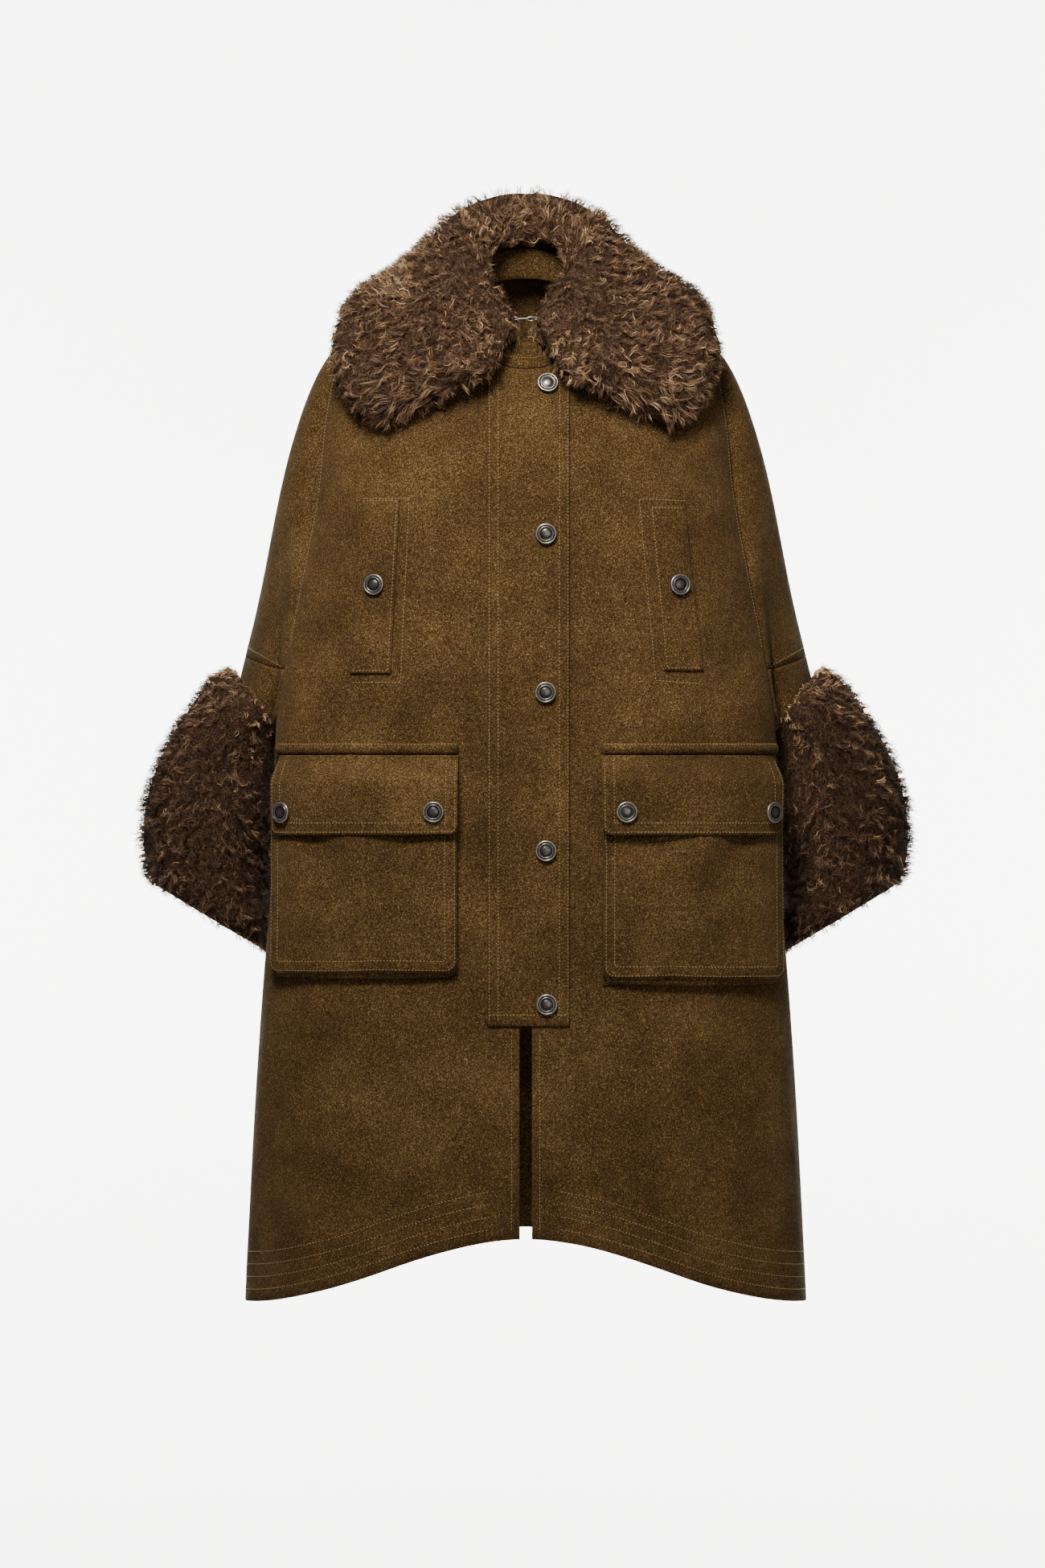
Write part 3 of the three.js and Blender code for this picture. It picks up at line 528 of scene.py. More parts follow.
def pewter_material(name, stops):
    """Antique pewter: a stored value says how far wear has polished it, from the dark hollows up."""
    material, shader, add, link = node_material(name)
    place = add("ShaderNodeTexCoord").outputs["Object"]
    grain = noise_on(add, link, place, (620, 620, 620), 2.0)
    wear = add("ShaderNodeAttribute", attribute_name="wear")
    mixed = add("ShaderNodeMath", operation="MULTIPLY_ADD")
    link(grain.outputs["Fac"], mixed.inputs[0])
    mixed.inputs[1].default_value = 0.5
    link(wear.outputs["Fac"], mixed.inputs[2])
    colours = ramp(add, stops)
    link(mixed.outputs[0], colours.inputs["Fac"])
    link(colours.outputs["Color"], shader.inputs["Base Color"])
    shader.inputs["Metallic"].default_value = 0.85
    shader.inputs["Roughness"].default_value = 0.3
    return material


pewter = pewter_material("pewter", PEWTER_STOPS)

thread_material, thread_shader, _, _ = node_material("thread")
thread_shader.inputs["Base Color"].default_value = (0.27, 0.18, 0.065, 1)
thread_shader.inputs["Roughness"].default_value = 0.6
print("materials made:", [material.name for material in bpy.data.materials])

# %% [markdown]
# ## Fronts and back
# The fronts and the back are cut from the body's surface. Their outer edges run down the shoulder,
# round the armhole, a rounded slot in the side, and down the side seam. The hem hangs lowest at the
# sides, and the front edges part below the placket into a vent.

# %% The edges of the panels
ARM_TOP, ARM_BOTTOM, ARM_FRONT, ARM_BACK, ARM_UNDER, ARM_SQUARE = 2.08, 6.93, 14, 30, 20, 3.6
SHOULDER_ROWS, ARMHOLE_ROWS, SKIRT_ROWS = 14, 60, 54
FRONT_COLUMNS, BACK_COLUMNS = 46, 80


def armhole_share(s):
    """How far the armhole's edge lies from the side, as a share of its full reach (a superellipse)."""
    off = np.abs((s - ARM_TOP) / ((ARM_BOTTOM - ARM_TOP) / 2) - 1)
    return np.maximum(0, 1 - np.minimum(off, 1) ** ARM_SQUARE) ** (1 / ARM_SQUARE)


def armhole_edge(s, front):
    """The angle of the armhole's front or back edge, or of the seam above or below it."""
    share = armhole_share(s)
    behind = np.where(s > (ARM_TOP + ARM_BOTTOM) / 2, ARM_UNDER * (1 - share), 0)
    return np.pi / 2 + np.radians(behind + share * np.where(front, -ARM_FRONT, ARM_BACK))


def hem_height(theta):
    """The hem's height: a smooth rise from its lowest line at the sides to the front and the back."""
    share = np.abs(np.sin(theta)) ** (2 / STATIONS[-1, SQUARE])
    return lerp(np.where(np.cos(theta) > 0, HEM_FRONT, HEM_BACK), HEM_SIDE, smooth(share))


def panel_rows():
    """Rows from the neck to the hem, closest together at the armhole's round ends."""
    shoulder = ARM_TOP * np.arange(SHOULDER_ROWS) / SHOULDER_ROWS
    arm = lerp(ARM_TOP, ARM_BOTTOM, (1 - np.cos(np.pi * np.arange(ARMHOLE_ROWS + 1) / ARMHOLE_ROWS)) / 2)
    return np.concatenate([shoulder, arm, ARM_BOTTOM + (np.arange(SKIRT_ROWS) + 1) / SKIRT_ROWS])


def row_station(v, theta):
    """Below the armhole a row's share of the way to the hem becomes a station at each angle."""
    hem = station_at_height(hem_height(theta))
    return np.where(v <= ARM_BOTTOM, v, lerp(ARM_BOTTOM, hem, v - ARM_BOTTOM))


def centre_gap(v):
    """The angle of a front edge: close to the centre under the placket, apart at the vent."""
    at = station(row_station(v, np.zeros_like(v)))
    gap = lerp(EDGE_GAP, VENT_HALF, smooth((VENT_TOP + VENT_OPENS - at[..., Z_FRONT]) / VENT_OPENS))
    return np.arcsin(np.clip(gap / at[..., HALF], 0, 1) ** (at[..., SQUARE] / 2))


def panel_reach(v, front):
    """The angle of the panel's outer edge at each row, where it is sewn to its neighbour."""
    s = np.minimum(v, ARM_BOTTOM)
    shift = np.radians(ARM_UNDER - 8) * smooth(v - ARM_BOTTOM)
    return armhole_edge(s, front) - shift


# %% Fronts and back
def body_panel(start, end, columns):
    """The outer and inner grids of a panel between two edges, each an angle for every row."""
    rows = panel_rows()
    theta = lerp(start[:, None], end[:, None], np.linspace(0, 1, columns + 1))
    s = row_station(rows[:, None], theta)
    return off_body(theta, s, 0.0), off_body(theta, s, -CLOTH)


ROWS = panel_rows()
for side, name in ((-1, "front_left"), (1, "front_right")):
    outer, inner = body_panel(side * centre_gap(ROWS), side * panel_reach(ROWS, True), FRONT_COLUMNS)
    cloth_piece(name, outer, inner, (0.43, 1.25), area=0.345)
back_edge = panel_reach(ROWS, False)
outer, inner = body_panel(back_edge, 2 * np.pi - back_edge, BACK_COLUMNS)
cloth_piece("back", outer, inner, (0.77, 1.24), area=0.64)

# %% [markdown]
# ## Sleeves
# A bell sleeve is a tube from the armhole to the cuff. It leaves the armhole sideways, falls, and turns
# down into the cuff. A stitched seam crosses it above the cuff, and the band below that seam carries
# the fur.

# %% The sleeve's surface
SLEEVE_END = dict(x=282.5, y=50, z=-400, across=38, deep=84, tilt=40)
CUFF_END = dict(x=338, y=66, z=-616, across=94, deep=118, tilt=31)
BAND_SEAM = (-338, -352)  # height of the stitched seam on the sleeve's top and under it
AROUND, BAND_EDGE_SHARE = 120, 11 / 30

# Folds of the sleeve: angle round the arm, share of its length, widths of both, and height.
SLEEVE_FOLDS = np.array(
    [
        [20, 0.45, 26, 0.22, 2.2],
        [62, 0.55, 16, 0.30, -2.4],
        [95, 0.72, 18, 0.20, 2.4],
        [-35, 0.40, 22, 0.30, -2.6],
        [-80, 0.62, 20, 0.25, 2.8],
        [-120, 0.50, 18, 0.25, -2.0],
        [0, 0.75, 18, 0.16, -1.6],
    ]
)


# %% Points of the sleeve
def tilted_ellipse(ring, t, grow=0.0, lift=0.0):
    """A point of a tilted ellipse round the arm, grown by a width and lifted along the arm."""
    tilt = np.radians(ring["tilt"])
    out = (ring["across"] + grow) * np.cos(t)
    away = (ring["deep"] + grow) * np.sin(t)
    x = ring["x"] + out * np.cos(tilt) - lift * np.sin(tilt)
    z = ring["z"] + out * np.sin(tilt) + lift * np.cos(tilt)
    return np.stack(np.broadcast_arrays(x, ring["y"] - away, z), -1)


def armhole_point(t):
    """The sleeve's head, just inside the armhole's edge: the edge's station runs down with the cosine."""
    s = ARM_TOP + (ARM_BOTTOM - ARM_TOP) / 2 * (1 - np.cos(t))
    turned = np.radians(0.45) * np.clip(4 * np.sin(t), -1, 1)
    edge = armhole_edge(s, np.sin(t) > 0) + turned
    underarm = smooth((-np.cos(t) - 0.8) / 0.2)
    return off_body(edge, s + 0.012 * np.cos(t) - 0.008 * underarm, -(CLOTH + SEAM) * (1 - underarm))


def sleeve_point(t, v):
    """A cubic curve from the armhole to the cuff: it leaves sideways and arrives pointing down."""
    t, v = np.broadcast_arrays(np.asarray(t, float), np.asarray(v, float))
    start, end = armhole_point(t), tilted_ellipse(SLEEVE_END, t)
    reach = np.linalg.norm(end - start, axis=-1, keepdims=True)
    top = (1 + np.cos(t)) / 2
    fall, outward = lerp(0.0, -0.46, top), lerp(0.5, 0.25, top)
    leave = unit(np.stack([np.ones_like(t), 0.1 * np.sin(t), fall], -1))
    arrive = unit(np.stack([outward, np.zeros_like(t), -np.ones_like(t)], -1))
    first = start + leave * reach * lerp(0.25, 0.14, top)[..., None]
    second = end - arrive * reach * lerp(0.25, 0.38, top)[..., None]
    v = v[..., None]
    w = 1 - v
    return start * w**3 + 3 * first * w * w * v + 3 * second * w * v * v + end * v**3


def sleeve_fold(t, v):
    """Soft folds of the sleeve: bell curves of the angle and of the share, fading out at both ends."""
    degrees = np.degrees(t)
    total = np.zeros(np.broadcast(t, v).shape)
    for angle, place, wide, long, height in SLEEVE_FOLDS:
        away = (degrees - angle + 540) % 360 - 180
        total = total + height * np.exp(-((away / wide) ** 2) - ((v - place) / long) ** 2)
    return total * np.minimum(1, 8 * v) * np.clip(6 * (1 - v), 0, 1)


def band_share(t):
    """The share of the sleeve's length where the stitched seam crosses it, found by halving."""
    wrapped = np.abs(np.arctan2(np.sin(t), np.cos(t)))
    line = lerp(BAND_SEAM[0], BAND_SEAM[1], smooth(wrapped / 2))
    low, high = np.zeros_like(t), np.ones_like(t)
    for _ in range(24):
        middle = (low + high) / 2
        above = sleeve_point(t, middle)[..., 2] > line
        low, high = np.where(above, middle, low), np.where(above, high, middle)
    return low


def sleeve_grids(t, v, side):
    """The sleeve's outer and inner grids. Its end is cut square, in the plane of the cuff's seam."""
    normal = normal_of(sleeve_point, t, v * 0.996 + 0.002)
    outer = sleeve_point(t, v) + normal * sleeve_fold(t, v)[..., None]
    inner = np.where((v > 0.999)[..., None], tilted_ellipse(SLEEVE_END, t, -CLOTH), outer - normal * CLOTH)
    return outer * [side, 1, 1], inner * [side, 1, 1]


# %% Sleeves and bands
upper_turn = np.linspace(-BAND_EDGE_SHARE, BAND_EDGE_SHARE, 89) * 2 * np.pi
band_turn = np.arange(AROUND) / AROUND * 2 * np.pi
upper_share = (band_share(upper_turn) + 0.0005) * np.linspace(0, 1, 37)[:, None] + 0.001
band_rows = lerp(band_share(band_turn) - 0.0005, 1, np.linspace(0, 1, 13)[:, None])
for side, word in ((-1, "left"), (1, "right")):
    grids = sleeve_grids(upper_turn * 0.998 + 0 * upper_share, upper_share, side)
    cloth_piece(f"sleeve_{word}", *grids, (0.62, 0.34), area=0.0735, rests_on=["back_cloth"])
    grids = sleeve_grids(band_turn + 0 * band_rows, band_rows, side)
    above = [f"sleeve_{word}_cloth"]
    cloth_piece(f"sleeve_band_{word}", *grids, (0.535, 0.105), area=0.0215, ring=True, rests_on=above)

# %% [markdown]
# ## Neck bands
# Two bands stand round the neck: the low outer one shows its stitched edge between the collar's lobes,
# and the taller inner one carries the collar.

# %% Neck bands
NECK_GAP, NECK_LEAN, NECK_CENTRE = 0.3, 0.12, 4


def neck_inwards(point):
    """The level direction from a point on the neck's edge to the neck's middle."""
    level = np.stack([-point[..., 0], NECK_CENTRE - point[..., 1], np.zeros(point.shape[:-1])], -1)
    return unit(level)


def neck_row(theta, up, off):
    """Points of a band round the neck at a height above its edge, leaning inward as it rises."""
    point = body_point(theta, np.zeros_like(theta))
    leaned = point + neck_inwards(point) * (off + up * NECK_LEAN)[..., None]
    return leaned + np.stack([0 * up, 0 * up, up], -1)


neck_turn = np.arange(96) / 96 * 2 * np.pi
for name, inset, height, bottom in (("neck_band", 0, 15, 0.5), ("collar_stand", 3.6, 33, -3)):
    up = bottom + height * np.linspace(0, 1, 7)[:, None] + 0 * neck_turn
    grids = [neck_row(neck_turn + 0 * up, up, 0 * up + inset + NECK_GAP + depth) for depth in (0, CLOTH)]
    cloth_piece(name, *grids, (0.53, height * MM), ring=True, rests_on=["back_cloth"])

# %% [markdown]
# ## Pieces laid on the fronts
# Yokes, placket, welts, pocket bags, flaps and the ridges over them are made from the panel's own
# points, moved out by the cloth under them, so they lie on it everywhere.


# %% Patches
def patch(theta, s, off, thickness=CLOTH):
    """The outer and inner grids of a patch at angles and stations, standing off by a height."""
    return off_body(theta, s, off + thickness), off_body(theta, s, off + 0 * theta)


def unit_grid(columns, rows):
    """Two grids of shares, across and down."""
    return np.meshgrid(np.linspace(0, 1, columns + 1), np.linspace(0, 1, rows + 1))


# %% Placket, welts and yokes
PLACKET = dict(left=-41, right=47, top=0.03, bottom=VENT_TOP, off=0.5)
across, down = unit_grid(22, 130)
placket_s = lerp(PLACKET["top"], float(station_at_height(PLACKET["bottom"])), down)
placket_theta = angle_at_x(lerp(PLACKET["left"], PLACKET["right"], across), placket_s)
grids = patch(placket_theta, placket_s, PLACKET["off"] + 0 * down)
cloth_piece("placket", *grids, (0.09, 0.755), rests_on=["front_left_cloth"])

# side, top and bottom height, inner and outer edge at the top and at the bottom
WELTS = [
    ("left", -171, -358, (-135, -177), (-144, -187), -161),
    ("right", -180, -355, (132, 170), (148, 189), 163.5),
]
WELT_BUTTON_Z = -263
for word, top, bottom, top_x, bottom_x, _ in WELTS:
    across, down = unit_grid(12, 40)
    s = station_at_height(lerp(top, bottom, down))
    x = lerp(lerp(top_x[0], top_x[1], across), lerp(bottom_x[0], bottom_x[1], across), down)
    grids = patch(angle_at_x(x, s), s, SEAM + 0 * s)
    cloth_piece(f"chest_welt_{word}", *grids, (0.046, 0.189), rests_on=[f"front_{word}_cloth"])

YOKE = dict(top=0.75, low_inner=2.12, low_outer=2.72, inner_x=86, outer_top_x=124, farthest=71)
YOKE_OUTER_X = {"left": 188, "right": 194}


def yoke_place(u, v, word):
    """Angles and stations of the yoke at shares across and down it."""
    s = lerp(YOKE["top"], lerp(YOKE["low_inner"], YOKE["low_outer"], smooth(u)), v)
    x = lerp(YOKE["inner_x"], lerp(YOKE["outer_top_x"], YOKE_OUTER_X[word], smooth(v * 1.3)), u)
    side = 1 if word == "right" else -1
    return side * np.minimum(angle_at_x(x, s), np.radians(YOKE["farthest"])), s


for word in ("left", "right"):
    across, down = unit_grid(30, 30)
    grids = patch(*yoke_place(across, down, word), LAID + 0 * down)
    under = [f"front_{word}_cloth"]
    cloth_piece(f"yoke_{word}", *grids, (0.135, 0.144), area=0.0108, rests_on=under)

# %% [markdown]
# ## Bellows pockets
# The bag stands off the front on its folded sides and bottom, and sags a little in the middle. The flap
# hangs from the ridge above it and gapes in soft waves over the bag's mouth.

# %% Pocket bags, flaps and ridges
# side, turn, inner edge and width along the cloth, lowest height, and how far the gusset hangs below the face
POCKETS = [("left", -1, 73, 207, -684, 5.5), ("right", 1, 82, 202, -692, 7.5)]
BAG = dict(top=-478, deep=13, belly=2.2, corner=12, lip=0.6)
FLAP = dict(top=-444.5, bottom=-531, corner=9, lowest=17.2, over=1.5, short=3, narrows=5, wave=0.8)
RIDGE = dict(top=-432, bottom=-444, thick=6)

# Creases of a bag's face: start and end as shares across and down, width as a share, and height.
BAG_CREASES = np.array(
    [
        [0.88, 0.02, 0.58, 0.55, 0.09, -4.2],
        [0.66, 0.05, 0.40, 0.62, 0.10, 3.0],
        [0.12, 0.05, 0.40, 0.50, 0.09, -3.6],
        [0.55, 0.60, 0.30, 0.95, 0.11, 2.6],
        [0.75, 0.55, 0.90, 0.90, 0.09, 2.2],
        [0.25, 0.70, 0.12, 0.92, 0.08, -2.2],
    ]
)


def crease_on(u, v, rows):
    """The sum of bell curves of the distance from each crease's line, in shares of the piece."""
    total = np.zeros(u.shape)
    for u0, v0, u1, v1, width, height in rows:
        du, dv = u1 - u0, v1 - v0
        share = np.clip(((u - u0) * du + (v - v0) * dv) / (du * du + dv * dv), 0, 1)
        total += height * np.exp(-(((u - u0 - share * du) ** 2 + (v - v0 - share * dv) ** 2) / width**2))
    return total


def pocket_place(pocket, along, z):
    """Angles and stations at lengths of cloth from the pocket's inner edge and at heights."""
    s = station_at_height(z)
    return pocket[1] * angle_at_length(pocket[2] + along, s), s


# %% The bag's and the flap's surfaces
def edge_rows(size, fine, count):
    """Places from 0 to size, close together near both ends where the folds are."""
    return np.concatenate([fine, np.linspace(fine[-1], size - fine[-1], count)[1:-1], size - fine[::-1]])


FOLD_PLACES = np.array([0, 0.02, 0.3, 0.9, 2.0, 3.6, 6.0, 9.0])
FOLD_LIFTS = [0, 0.45, 0.72, 0.86, 0.95, 0.99, 1.0, 1.0]


def edge_distance(near, above, corner):
    """The distance inside an edge whose lower corner is rounded."""
    bent = corner - np.hypot(np.maximum(corner - near, 0), np.maximum(corner - above, 0))
    return np.where((near < corner) & (above < corner), np.maximum(bent, 0), np.minimum(near, above))


def bag_lift(pocket, along, z):
    """The bag's height over the front. Its face stands off at full depth inside the folded edge, and
    below the face the gusset's lip stands off at a share of it."""
    _, _, _, width, bottom, lip = pocket
    near = np.minimum(along, width - along)
    u, v = along / width, (BAG["top"] - z) / (BAG["top"] - bottom)
    sag = lip * (0.55 + 0.45 * np.sin(np.pi * u))
    low = z - bottom - (lip - sag)
    face = np.interp(edge_distance(near, low - sag, BAG["corner"]), FOLD_PLACES, FOLD_LIFTS)
    gusset = BAG["lip"] * np.interp(edge_distance(near, low, BAG["corner"]), FOLD_PLACES, FOLD_LIFTS)
    middle = np.sin(np.pi * u)
    full = BAG["deep"] + BAG["belly"] * middle * np.sin(np.pi * (1 - v)) + crease_on(u, v, BAG_CREASES)
    gape = 1.6 * np.sin(5.2 * u + 0.8) * np.exp(-((v / 0.14) ** 2)) * middle
    return np.maximum(face, gusset), lerp(LAID, full + gape, np.maximum(face, gusset))


def bag_grid(pocket, shrink):
    """The bag's outer grid, or with shrink its inner one."""
    _, _, _, width, bottom, lip = pocket
    along = edge_rows(width, FOLD_PLACES, 40)
    lip_steps = [lip + np.arange(-2, 1.6, 0.5), lip + FOLD_PLACES[3:] * 1.2]
    steps = bottom + np.concatenate([FOLD_PLACES[:-2], *lip_steps])
    heights = np.concatenate([np.linspace(BAG["top"], steps.max(), 44)[:-1], np.sort(steps)[::-1]])
    along, z = np.meshgrid(along, heights)
    share, lift = bag_lift(pocket, along, z)
    near = np.minimum(along, width - along)
    inward = np.where(along < width / 2, 1, -1) * shrink * (near < width * 0.05)
    theta, s = pocket_place(pocket, along + inward, z + shrink * (z - bottom < 7))
    return off_body(theta, s, lift - shrink * share)


def flap_lift(u, v):
    """The flap's height: it rises off the ridge's foot and waves along its lower edge."""
    wave = FLAP["wave"] * np.cos(9 * u) + 1.5 * np.sin(5.2 * u + 0.6) * smooth(v * 2 - 1)
    return lerp(LAID, FLAP["lowest"], smooth(v * 2.6)) + smooth(v * 2 - 1) * wave


def flap_place(pocket, u, v):
    """Angles and stations of the flap at shares across and down, with rounded lower corners."""
    round_off = np.maximum(0, (np.abs(2 * u - 1) - 1) * pocket[3] * 0.5 + FLAP["corner"])
    rise = FLAP["corner"] - np.sqrt(np.maximum(0, FLAP["corner"] ** 2 - round_off**2))
    z = lerp(FLAP["top"], FLAP["bottom"], v) + rise * smooth(v * 3 - 2)
    outer = pocket[3] - FLAP["short"] - FLAP["narrows"] * smooth(v * 2.6)
    return pocket_place(pocket, lerp(-FLAP["over"], outer, u), z)


# %% Bags, flaps and ridges
for pocket in POCKETS:
    word = pocket[0]
    under = [f"front_{word}_cloth"]
    grids = [bag_grid(pocket, depth) for depth in (0.0, CLOTH)]
    cloth_piece(f"pocket_bag_{word}", *grids, (0.24, 0.212), area=0.05, rests_on=under)
    across, down = unit_grid(70, 30)
    theta, s = flap_place(pocket, across, down)
    grids = patch(theta, s, flap_lift(across, down))
    cloth_piece(f"pocket_flap_{word}", *grids, (0.222, 0.09), rests_on=under)
    across, down = unit_grid(70, 8)
    z = lerp(RIDGE["top"], RIDGE["bottom"], down)
    theta, s = pocket_place(pocket, lerp(-1, pocket[3] + 1, across), z)
    rounded = RIDGE["thick"] * (0.55 + 0.45 * np.sin(np.pi * down))
    grids = patch(theta, s, LAID + 0 * down, rounded)
    cloth_piece(f"flap_ridge_{word}", *grids, (0.214, 0.014), rests_on=under)

# %% [markdown]
# ## Stitching
# The coat is topstitched in a pale thread: two rows along each edge of the placket, pockets and flaps,
# four round the hem, one along the seams. A stitch is a small bead of thread that dips into the cloth at
# both ends, so each row is one list of short spindles set along a line on the surface.


# %% Threads
def resample(points, normals, pitch):
    """Points and normals at equal steps along a line."""
    run = np.concatenate([[0], np.cumsum(np.linalg.norm(np.diff(points, axis=0), axis=1))])
    at = np.arange(0, run[-1], pitch)
    spaced = [np.stack([np.interp(at, run, v[:, k]) for k in range(3)], 1) for v in (points, normals)]
    return spaced[0], unit(spaced[1])


def stitches(lines, pitch=3.6, share=0.66, radius=0.42):
    """Spindles along lines of (points, normals): a point at each end and two square rings between."""
    points, faces, start = [], [], 0
    for line, normals in lines:
        here, up = resample(line, normals, pitch)
        if len(here) < 2:
            continue
        along = unit(here[1:] - here[:-1])
        centre, up = here[:-1], up[:-1]
        aside = unit(np.cross(along, up))
        length = pitch * share
        rings = []
        for far in (0.22, 0.78):
            middle = centre + along * (length * far) + up * 0.12
            for across_share, up_share in ((1, 0), (0, 1), (-1, 0), (0, -0.6)):
                rings.append(middle + aside * radius * across_share + up * radius * up_share)
        count = len(centre)
        ends = [centre - up * 0.35, centre + along * length - up * 0.35]
        points.append(np.stack([*ends, *rings], 1).reshape(-1, 3))
        first = start + 10 * np.arange(count)[:, None]
        for k in range(4):
            a, b = 2 + k, 2 + (k + 1) % 4
            faces.append(np.concatenate([first + 0, first + b, first + a], 1))
            faces.append(np.concatenate([first + a, first + b, first + b + 4], 1))
            faces.append(np.concatenate([first + a, first + b + 4, first + a + 4], 1))
            faces.append(np.concatenate([first + 1, first + a + 4, first + b + 4], 1))
        start += 10 * count
    return np.concatenate(points), [np.concatenate(faces)]


def surface_line(theta, s, off):
    """A line on the body at angles and stations, standing off by a height, with its normals."""
    theta, s = np.broadcast_arrays(np.asarray(theta, float), np.asarray(s, float))
    return off_body(theta, s, off + 0 * theta), -normal_of(body_point, theta, s)


def x_line(corners, off, steps=60):
    """A line through (x, z) corners on the front below the shoulders."""
    corners = np.array(corners, float)
    share = np.linspace(0, len(corners) - 1, steps * (len(corners) - 1) + 1)
    x = np.interp(share, np.arange(len(corners)), corners[:, 0])
    s = station_at_height(np.interp(share, np.arange(len(corners)), corners[:, 1]))
    return surface_line(angle_at_x(x, s), s, off)


def thread_piece(name, lines, **sizes):
    """All the stitches of one part of the coat as one mesh."""
    points, faces = stitches(lines, **sizes)
    made = make_object(name, points, faces, thread_material, "loden")
    print(f"{name}: {len(points) // 10} stitches")
    return made


# %% Stitch the placket and the hem
STITCH_UP = 0.1  # how far a stitch lies above the cloth
top_of_placket = PLACKET["off"] + CLOTH + STITCH_UP
s_line = np.linspace(0.05, float(station_at_height(VENT_TOP + 3)), 400)
lines = []
for x in (-39, -29.5, 36, 45):
    lines.append(surface_line(angle_at_x(x + 0 * s_line, s_line), s_line, top_of_placket))
lines.append(x_line([(-39, -723), (45, -723)], top_of_placket))
thread_piece("placket_stitching", lines)

lines = []
for height in (13, 26.5, 40, 53.5):
    for start, end in ((-1, -0.03), (0.03, 1)):
        theta = np.linspace(start, end, 700) * np.pi
        lines.append(surface_line(theta, station_at_height(hem_height(theta) + height), STITCH_UP))
thread_piece("hem_stitching", lines, pitch=3.8)

# %% Stitch the chest pockets and the yokes
lines = [
    x_line([(-174, -161), (-125, -158), (-134, -367), (-187, -367)], STITCH_UP),
    x_line([(171, -173), (122, -171), (139, -365), (191, -369)], STITCH_UP),
]
for word, top, bottom, top_x, bottom_x, _ in WELTS:
    corners = [(lerp(*top_x, 0.9), top - 3), (lerp(*top_x, 0.07), top - 2.5)]
    corners += [(lerp(*bottom_x, 0.07), bottom + 3), (lerp(*bottom_x, 0.95), bottom + 3)]
    lines.append(x_line(corners, SEAM + CLOTH + STITCH_UP))
thread_piece("chest_stitching", lines)

lines = []
share = np.linspace(0, 1, 120)
for word in ("left", "right"):
    for inset in (0.035, 0.11):
        run, kept = share * (1 - inset), 1 - inset + 0 * share
        for place in ((kept, run), (run, kept)):
            lines.append(surface_line(*yoke_place(*place, word), LAID + CLOTH + STITCH_UP))
thread_piece("yoke_stitching", lines)

# %% Stitch the lower pockets
lines = []
for pocket in POCKETS:
    width, face_bottom = pocket[3], pocket[4] + pocket[5]
    share = np.linspace(0, 1, 160)
    for inset in (2.8, 12.6):
        corner = max(2.0, 12.0 - inset)
        turn = np.linspace(0, np.pi / 2, 14)
        low = face_bottom + inset
        round_corner = inset + corner * (1 - np.cos(turn))
        sides = [inset + 0 * share, round_corner, lerp(inset + corner, width / 2, share)]
        heights = [lerp(BAG["top"], low + corner, share), low + corner * (1 - np.sin(turn)), low + 0 * share]
        along = np.concatenate([*sides, *[width - part[::-1] for part in sides[::-1]]])
        z = np.concatenate([*heights, *[part[::-1] for part in heights[::-1]]])
        lift = bag_lift(pocket, along, z)[1]
        theta, s = pocket_place(pocket, along[:, None], z[:, None])
        lines.append(surface_line(theta[:, 0], s[:, 0], lift + STITCH_UP))
    for inset in (3.2, 13.0):
        u0, u1 = inset / width, 1 - inset / width
        v1 = 1 - inset / (FLAP["top"] - FLAP["bottom"])
        u = np.concatenate([u0 + 0 * share, lerp(u0, u1, share), u1 + 0 * share])
        v = np.concatenate([lerp(0.06, v1, share), v1 + 0 * share, lerp(v1, 0.06, share)])
        theta, s = flap_place(pocket, u[:, None], v[:, None])
        lines.append(surface_line(theta[:, 0], s[:, 0], flap_lift(u, v) + CLOTH + STITCH_UP))
    along = lerp(1, width - 1, share)[:, None]
    theta, s = pocket_place(pocket, along, RIDGE["top"] - 1.6 + 0 * along)
    lines.append(surface_line(theta[:, 0], s[:, 0], LAID + RIDGE["thick"] * 0.72))
thread_piece("pocket_stitching", lines)

# %% Stitch the seams and the neck
armhole_run = np.linspace(ARM_TOP + 0.25, 5.9, 300)
band_run = np.linspace(-0.72, 0.72, 200) * np.pi
band_up = band_share(band_run) - 0.022
band_normal = normal_of(sleeve_point, band_run, band_up)
band_lift = sleeve_fold(band_run, band_up) + STITCH_UP
band_line = sleeve_point(band_run, band_up) + band_normal * band_lift[:, None]
vent_run = np.linspace(*station_at_height([-745, HEM_FRONT + 8]), 160)
lines = []
for side in (-1, 1):
    flip = [side, 1, 1]
    lines.append(surface_line(side * (armhole_edge(armhole_run, True) - 0.035), armhole_run, STITCH_UP))
    lines.append((band_line * flip, band_normal * flip))
    lines.append(surface_line(side * angle_at_x(15 + 0 * vent_run, vent_run), vent_run, STITCH_UP))
thread_piece("seam_stitching", lines)

theta = np.linspace(-np.pi, np.pi, 400)
line = neck_row(theta, 12.5 + 0 * theta, NECK_GAP - 0.3 + 0 * theta)
thread_piece("neck_stitching", [(line, -neck_inwards(line))], pitch=3.0)

# %% [markdown]
# ## Buttons and the hook
# The buttons are cast pewter shank buttons, turned here from one profile: a back plate, a rim, a groove
# with a rope of small beads, and a domed middle. The middle is left plain. The collar closes with a
# small hook and eye bent from wire.

